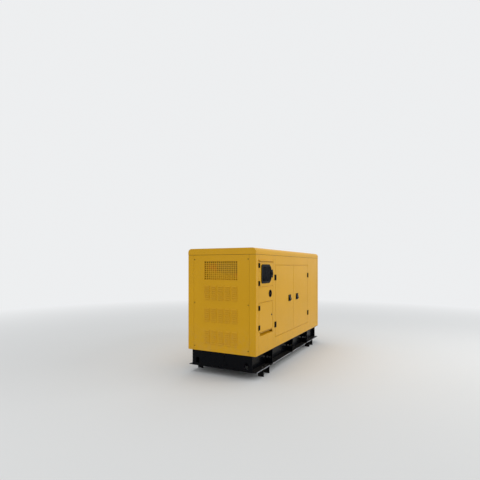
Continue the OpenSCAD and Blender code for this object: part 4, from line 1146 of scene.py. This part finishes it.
class GENSET_OT_control_face(bpy.types.Operator):
    """Face of the control cabinet: display, gauges, keys, lamps and switches"""
    bl_idname = "genset.control_face"
    bl_label = "Control cabinet face"

    def execute(self, context):
        low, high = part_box("control_cabinet")
        face = low.y
        middle = (low + high) / 2
        door_t = 0.006

        def spot(x, z):
            return facing((middle.x + x, face - door_t, middle.z + z), FRONT)

        def panel(x, z, wide, tall, start, out, edge):
            add_box(bm, (middle.x + x - wide / 2, face - out, middle.z + z - tall / 2),
                    (middle.x + x + wide / 2, face - start, middle.z + z + tall / 2), edge)

        bm = bmesh.new()
        panel(0, 0, 0.36, 0.26, -0.001, door_t, 0.002)
        hinge_r = 0.005
        hinge_h = 0.036
        for z in (-0.09, 0.09):
            foot = (middle.x - 0.184, face - 0.004, middle.z + z - hinge_h / 2)
            add_round(bm, facing(foot, Z_AXIS), hinge_r, hinge_h, 16)
        place_piece("cabinet_door", bm, "cabinet_paint")

        gauges = [spot(x, 0.07) for x in (0.05, 0.13)]
        rim = lathe([(0, 0), (0.031, 0), (0.031, 0.007), (0.027, 0.009), (0.0255, 0.005), (0, 0.005)], 36)
        knob = lathe([(0, 0), (0.013, 0), (0.013, 0.004), (0.009, 0.006), (0.009, 0.012), (0, 0.012)], 24)
        bm = bmesh.new()
        panel(-0.075, 0.045, 0.17, 0.125, 0, door_t + 0.009, 0.004)
        panel(0.128, -0.075, 0.05, 0.07, 0, door_t + 0.006, 0.003)
        stamp(rim, gauges, bm)
        for x in (-0.11, -0.05):
            stamp(knob, [spot(x, -0.085)], bm)
            panel(x, -0.085, 0.005, 0.024, door_t, door_t + 0.018, 0.001)
        place_piece("cabinet_controls", bm, "black_plastic")

        bm = bmesh.new()
        panel(-0.075, 0.062, 0.11, 0.062, door_t, door_t + 0.0098, 0.001)
        place_piece("cabinet_display", bm, "display")

        bm = bmesh.new()
        for i in range(6):
            for j in range(2):
                panel(-0.135 + i * 0.024, 0.018 - j * 0.021, 0.016, 0.012, door_t, door_t + 0.0115, 0.002)
        for i in range(3):
            panel(0.128, -0.097 + i * 0.022, 0.034, 0.013, door_t, door_t + 0.009, 0.002)
        place_piece("cabinet_keys", bm, "grey_plastic")

        dial = lathe([(0, 0.0055), (0.0254, 0.0055), (0.0254, 0.0062), (0, 0.0062)], 36)
        place_piece("gauge_dials", stamp(dial, gauges), "white_plastic")

        mark = Matrix.Translation((0, 0, 0.0205)) @ Matrix.Diagonal((0.0014, 0.0006, 0.006, 1))
        hand = Matrix.Translation((0, -0.0006, 0.008)) @ Matrix.Diagonal((0.0016, 0.0006, 0.024, 1))
        bm = bmesh.new()
        for gauge, reading in zip(gauges, (-48, 22)):
            hub = Matrix.Translation(gauge.translation + FRONT * 0.0065)
            for angle, shape in [(-120 + 30 * i, mark) for i in range(9)] + [(reading, hand)]:
                turn = Matrix.Rotation(math.radians(angle), 4, Y_AXIS)
                bmesh.ops.create_cube(bm, size=1.0, matrix=hub @ turn @ shape)
        place_piece("gauge_marks", bm, "black_plastic")

        lens = lathe([(0, 0), (0.009, 0), (0.009, 0.004), (0.0065, 0.007), (0, 0.0085)], 20)
        for x, finish in ((0.02, "green_lamp"), (0.055, "white_plastic"), (0.09, "red_plastic")):
            name = f"pilot_lamp_{finish.split('_')[0]}"
            place_piece(name, stamp(lens, [spot(x, -0.005)]), finish)
        button = lathe([(0, 0), (0.009, 0), (0.009, 0.009), (0.017, 0.011), (0.0185, 0.017), (0.015, 0.022),
                        (0, 0.0235)], 28)
        place_piece("cabinet_stop", stamp(button, [spot(0.045, -0.075)]), "red_plastic")
        return {"FINISHED"}


class GENSET_OT_terminal_parts(bpy.types.Operator):
    """Studs, nuts, barriers and screws of the terminal board"""
    bl_idname = "genset.terminal_parts"
    bl_label = "Terminal parts"

    def execute(self, context):
        low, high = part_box("busbars")
        board_low, board_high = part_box("terminal_board")
        count = 4
        bar_w = 0.040
        first = low.x + bar_w / 2
        step = (high.x - low.x - bar_w) / (count - 1)
        studs = [
            facing((first + i * step, low.y, low.z + (high.z - low.z) * part), FRONT)
            for i in range(count) for part in (0.18, 0.5, 0.82)
        ]
        bm = stamp(hex_bolt(0.012), studs)
        stamp(lathe([(0, 0), (0.0055, 0), (0.0055, 0.02), (0.0045, 0.0215), (0, 0.0215)], 16), studs, bm)
        place_piece("terminal_studs", bm, "bright_metal")
        bm = bmesh.new()
        rib = 0.006
        rib_in = 0.01
        proud = 0.022
        root = 0.001
        for i in range(count - 1):
            x = first + (i + 0.5) * step
            add_box(bm, (x - rib / 2, board_low.y - proud, board_low.z + rib_in),
                    (x + rib / 2, board_low.y + root, board_high.z - rib_in), 0.002)
        place_piece("terminal_barriers", bm, "grey_plastic")
        screw_in = 0.012
        corners = [
            facing((x, board_low.y, z), FRONT)
            for x in (board_low.x + screw_in, board_high.x - screw_in)
            for z in (board_low.z + screw_in, board_high.z - screw_in)
        ]
        place_piece("terminal_board_screws", stamp(pan_screw(0.006), corners), "dark_steel")
        return {"FINISHED"}


class GENSET_OT_machine_parts(bpy.types.Operator):
    """Bolts, covers and pipes of the alternator, gearbox and turbine"""
    bl_idname = "genset.machine_parts"
    bl_label = "Machine parts"

    def execute(self, context):
        size = context.scene.genset_fasteners.machine_bolt
        bed_low, bed_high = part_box("machine_bed")
        shaft_height = 0.480
        shaft = Vector((0, 0, bed_low.z + shaft_height))
        self.add_turbine_parts(size, shaft)
        self.add_gearbox_parts(size, shaft)
        self.add_alternator_parts()
        self.add_oil_pipe(bed_high.z)
        return {"FINISHED"}

    def add_turbine_parts(self, size, shaft):
        low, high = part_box("turbine")
        burner_r = 0.250
        lip = 0.022
        flange_t = 0.016
        bolts = []
        for part, radius, count in ((0.14, 0.2125, 20), (0.44, 0.155, 16), (0.74, burner_r, 24)):
            start = shaft + X_AXIS * (low.x + (high.x - low.x) * part)
            for middle, out in ((start, -X_AXIS), (start + X_AXIS * flange_t, X_AXIS)):
                bolts += ring_places(middle, X_AXIS, radius + lip / 2, count, out)
        plenum = shaft + X_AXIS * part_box("exhaust_plenum")[0].x
        bolts += ring_places(plenum, X_AXIS, 0.213, 16, -X_AXIS)
        place_piece("turbine_bolts", stamp(hex_bolt(size * 0.6), bolts), "dark_steel")

        middle = shaft + X_AXIS * (low.x + (high.x - low.x) * 0.535)
        ring_r = burner_r + 0.026
        pipe_r = 0.007
        hoop = lathe([(ring_r + pipe_r * math.cos(a), pipe_r * math.sin(a))
                      for a in (FULL_TURN * i / 10 for i in range(11))], 72)
        bm = stamp(hoop, [facing(middle, X_AXIS)])
        nozzle = lathe([(0, -0.006), (0.014, -0.006), (0.014, 0.004), (0.009, 0.006), (0.009, 0.03),
                        (0.0105, 0.031), (0.0105, 0.038), (0, 0.038)], 16)
        feet = [place.translation for place in ring_places(middle, X_AXIS, burner_r, 12, phase=0.13)]
        stamp(nozzle, [facing(foot, foot - middle) for foot in feet], bm)
        place_piece("fuel_ring", bm, "bright_metal", smooth=50)

    def add_gearbox_parts(self, size, shaft):
        low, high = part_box("gearbox")
        end_in = 0.035
        side_in = 0.012
        flange_z = shaft.z + 0.012
        pitch = (high.x - low.x - 2 * end_in) / 3
        bolts = [
            facing((low.x + end_in + pitch * i, side * (high.y - side_in), flange_z), Z_AXIS)
            for side in (-1, 1) for i in range(4)
        ]
        bm = stamp(hex_bolt(size), bolts)
        cover_t = 0.012
        cover_in = 0.024
        cover_drop = 0.17
        circle_r = 0.078
        middle = Vector(((low.x + high.x) / 2, low.y + cover_in, shaft.z - cover_drop))
        bolts = ring_places(middle + FRONT * cover_t, Y_AXIS, circle_r, 10, FRONT)
        stamp(hex_bolt(size * 0.7), bolts, bm)
        place_piece("gearbox_bolts", bm, "dark_steel")
        cover = lathe([(0, 0), (0.092, 0), (0.092, 0.009), (0.089, cover_t), (0.045, cover_t), (0.04, 0.018),
                       (0, 0.018)], 40)
        filler = lathe([(0, 0), (0.026, 0), (0.026, 0.02), (0.034, 0.022), (0.034, 0.038), (0.03, 0.042),
                        (0, 0.042)], 12)
        bm = stamp(cover, [facing(middle, FRONT)])
        stamp(filler, [facing((middle.x + 0.06, -0.18, high.z), Z_AXIS)], bm)
        place_piece("gearbox_covers", bm, "machine_paint")

    def add_alternator_parts(self):
        low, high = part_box("alternator")
        overhang = 0.008
        lid_t = 0.008
        lid_x = (low.x + high.x) / 2
        lid_w = (high.x - low.x) * 3 / 7 / 2 + overhang
        lid_d = 0.171 + overhang
        top = high.z + lid_t
        bm = bmesh.new()
        add_box(bm, (lid_x - lid_w, -lid_d, high.z - 0.004), (lid_x + lid_w, lid_d, top), 0.003)
        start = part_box("bay_partition")[1].x
        reach = lid_x - lid_w + 0.009 - start
        duct = lathe([(0, 0), (0.036, 0), (0.036, 0.012), (0.026, 0.014), (0.026, reach - 0.014),
                      (0.036, reach - 0.012), (0.036, reach), (0, reach)], 24)
        stamp(duct, [facing((start, y, high.z - 0.085), X_AXIS) for y in (-0.1, 0, 0.1)], bm)
        place_piece("alternator_lid", bm, "machine_paint")
        inset = 0.014
        screws = [
            facing((lid_x + sx * (lid_w - inset), sy * (lid_d - inset), top), Z_AXIS)
            for sx in (-1, 0, 1) for sy in (-1, 1)
        ]
        place_piece("alternator_screws", stamp(hex_bolt(0.007), screws), "bright_metal")

    def add_oil_pipe(self, bed_top):
        low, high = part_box("gearbox")
        pipe_r = 0.016
        bend = 0.05
        into = 0.001
        side_in = 0.05
        lift = 0.16
        start = (high.x - into, low.y + side_in, bed_top + lift)
        bm = bmesh.new()
        add_tube(bm, start, X_AXIS, pipe_r, [
            ("go", 0.05), ("turn", bend, 0, 0, -1), ("go", 0.05), ("turn", bend, 1, 0, 0),
            ("go", 0.28), ("turn", bend, 0, 0, 1), ("go", 0.03),
        ], 14)
        place_piece("oil_pipe", bm, "bright_metal", smooth=60)


class GENSET_OT_silencer_straps(bpy.types.Operator):
    """Clamp bands round the exhaust silencer, each drawn up by a bolt through two ears"""
    bl_idname = "genset.silencer_straps"
    bl_label = "Silencer straps"

    def execute(self, context):
        low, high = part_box("silencer")
        radius = (high.y - low.y) / 2
        axis_z = high.z - radius
        wide = 0.022
        band_t = 0.0022
        ear_t = 0.004
        ear_h = 0.024
        ear_gap = 0.012
        bolt_drop = 0.014
        outer = radius + band_t
        band = lathe([(radius, 0), (outer, 0), (outer, wide), (radius, wide), (radius, 0)], 64)
        turn = Matrix.Rotation(math.radians(-38), 4, X_AXIS)
        ear = Matrix.Diagonal((wide, ear_t, ear_h, 1))
        bm = bmesh.new()
        for part in (0.12, 0.36, 0.6, 0.84):
            x = low.x + (high.x - low.x) * part
            stamp(band, [facing((x, 0, axis_z), X_AXIS)], bm)
            hub = Matrix.Translation((x + wide / 2, 0, axis_z)) @ turn
            for shift in (-ear_gap, ear_gap):
                place = hub @ Matrix.Translation((0, shift, -radius - ear_h / 2))
                bmesh.ops.create_cube(bm, size=1.0, matrix=place @ ear)
            head = Vector((0, -ear_gap - ear_t / 2, -radius - bolt_drop))
            stamp(hex_bolt(0.007), [facing(hub @ head, turn @ -Y_AXIS)], bm)
        place_piece("silencer_straps", bm, "bright_metal")
        return {"FINISHED"}


class GENSET_OT_stop_button(bpy.types.Operator):
    """Red cap deep in the black cup of the emergency stop, its red darkened nearly to black as painted shade"""
    bl_idname = "genset.stop_button"
    bl_label = "Emergency stop cap"

    def execute(self, context):
        low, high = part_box("emergency_stop")
        cap = lathe([(0, 0), (0.0172, 0), (0.0172, 0.0006), (0.015, 0.0016), (0, 0.0022)], 32)
        place = on_wall((low.x + high.x) / 2, (low.z + high.z) / 2, -0.0035)
        place_piece("stop_cap", stamp(cap, [place]), "shaded_red_plastic")
        return {"FINISHED"}


class GENSET_OT_stage(bpy.types.Operator):
    """Pale floor, soft studio light and the photograph's camera"""
    bl_idname = "genset.stage"
    bl_label = "Studio"

    def execute(self, context):
        stage = context.scene.genset_stage
        context.scene.view_settings.view_transform = "Standard"
        self.add_floor(stage)
        self.add_sky(context, stage)
        self.add_lamp("key_lamp", (1.6, -6.4, 4.4), 5.0, stage.key)
        self.add_lamp("fill_lamp", (-6.5, 1.2, 3.4), 4.0, stage.fill)
        self.add_lamp("top_lamp", (0.5, 0.8, 6.5), 6.0, stage.top)
        lens = bpy.data.cameras.new("camera")
        lens.sensor_width = 36
        lens.lens = stage.lens
        lens.shift_y = stage.rise
        camera = bpy.data.objects.new("camera", lens)
        context.scene.collection.objects.link(camera)
        camera.location = stage.eye
        camera.rotation_euler = (QUARTER_TURN, 0, stage.heading)
        context.scene.camera = camera
        return {"FINISHED"}

    def add_floor(self, stage):
        finish = Finish("studio_floor", Roughness=0.9, Specular_IOR_Level=0.0, Emission_Strength=1.0)
        cloud = finish.noise(0.4, 3)
        seen = finish.node("ShaderNodeLightPath", {}, {}, "Is Camera Ray")
        far = (finish.x ** 2.0 + finish.y ** 2.0) ** 0.5
        fade = finish.clamp(far, stage.fade_start, stage.fade_end) * seen
        black = (0.0, 0.0, 0.0)
        pale = finish.mix(cloud, shade(stage.floor, 0.985), shade(stage.floor, 1.01))
        finish.paint(finish.mix(fade, pale, black), glow=finish.mix(fade, black, stage.backdrop[:3]))
        bm = bmesh.new()
        bmesh.ops.create_grid(bm, x_segments=1, y_segments=1, size=stage.reach)
        mesh = bpy.data.meshes.new("studio_floor")
        bm.to_mesh(mesh)
        bm.free()
        mesh.materials.append(finish.material)
        floor = bpy.data.objects.new("studio_floor", mesh)
        bpy.context.scene.collection.objects.link(floor)

    def add_sky(self, context, stage):
        world = bpy.data.worlds.new("studio")
        world.use_nodes = True
        context.scene.world = world
        sky = NodeMaker(world.node_tree)
        light = sky.tree.nodes["Background"]
        sky.feed(light.inputs["Color"], (0.95, 0.975, 1.0))
        sky.feed(light.inputs["Strength"], stage.sky)
        white = sky.node("ShaderNodeBackground", {}, {"Color": stage.backdrop[:3], "Strength": 1.0})
        seen = sky.node("ShaderNodeLightPath", {}, {}, "Is Camera Ray")
        for name in ("Is Glossy Ray", "Is Transmission Ray"):
            other = sky.node("ShaderNodeLightPath", {}, {}, name)
            seen = sky.node("ShaderNodeMath", {"operation": "MAXIMUM"}, {0: seen, 1: other})
        lit = Socket(sky, light.outputs[0])
        blend = sky.node("ShaderNodeMixShader", {}, {0: seen, 1: lit, 2: white})
        sky.feed(sky.tree.nodes["World Output"].inputs[0], blend)

    def add_lamp(self, name, place, size, power):
        light = bpy.data.lights.new(name, "AREA")
        light.shape = "SQUARE"
        light.size = size
        light.energy = power
        lamp = bpy.data.objects.new(name, light)
        bpy.context.scene.collection.objects.link(lamp)
        aim = Vector((0, 0, 0.9)) - Vector(place)
        lamp.matrix_world = Matrix.Translation(place) @ aim.to_track_quat("-Z", "Y").to_matrix().to_4x4()


class GENSET_PT_parts(bpy.types.Panel):
    """Lists the generator set's groups of pieces"""
    bl_idname = "GENSET_PT_parts"
    bl_label = "Generator set"
    bl_space_type = "VIEW_3D"
    bl_region_type = "UI"
    bl_category = "Generator set"

    def draw(self, context):
        scene = context.scene
        for name, settings in SETTINGS.items():
            box = self.layout.box()
            box.label(text=name.split("_")[1].capitalize())
            for key in settings.__annotations__:
                box.prop(getattr(scene, name), key)
        for operator in OPERATORS:
            self.layout.operator(operator.bl_idname)


SETTINGS = {
    "genset_paint": GensetPaint, "genset_fasteners": GensetFasteners,
    "genset_lining": GensetLining, "genset_stage": GensetStage,
}
OPERATORS = (
    GENSET_OT_finishes, GENSET_OT_end_bolts, GENSET_OT_skid_fasteners, GENSET_OT_skid_welds,
    GENSET_OT_panel_joints, GENSET_OT_hinge_screws, GENSET_OT_latch_parts, GENSET_OT_window_parts,
    GENSET_OT_door_seals, GENSET_OT_linings, GENSET_OT_control_face, GENSET_OT_terminal_parts,
    GENSET_OT_machine_parts, GENSET_OT_silencer_straps, GENSET_OT_stop_button, GENSET_OT_stage,
)


def register():
    for cls in (*SETTINGS.values(), *OPERATORS, GENSET_PT_parts):
        bpy.utils.register_class(cls)
    for name, settings in SETTINGS.items():
        setattr(bpy.types.Scene, name, bpy.props.PointerProperty(type=settings))


def unregister():
    for name in SETTINGS:
        delattr(bpy.types.Scene, name)
    for cls in (GENSET_PT_parts, *reversed(OPERATORS), *reversed(SETTINGS.values())):
        bpy.utils.unregister_class(cls)


def main():
    register()
    for operator in OPERATORS:
        group, name = operator.bl_idname.split(".")
        getattr(getattr(bpy.ops, group), name)()


if __name__ == "__main__":
    main()
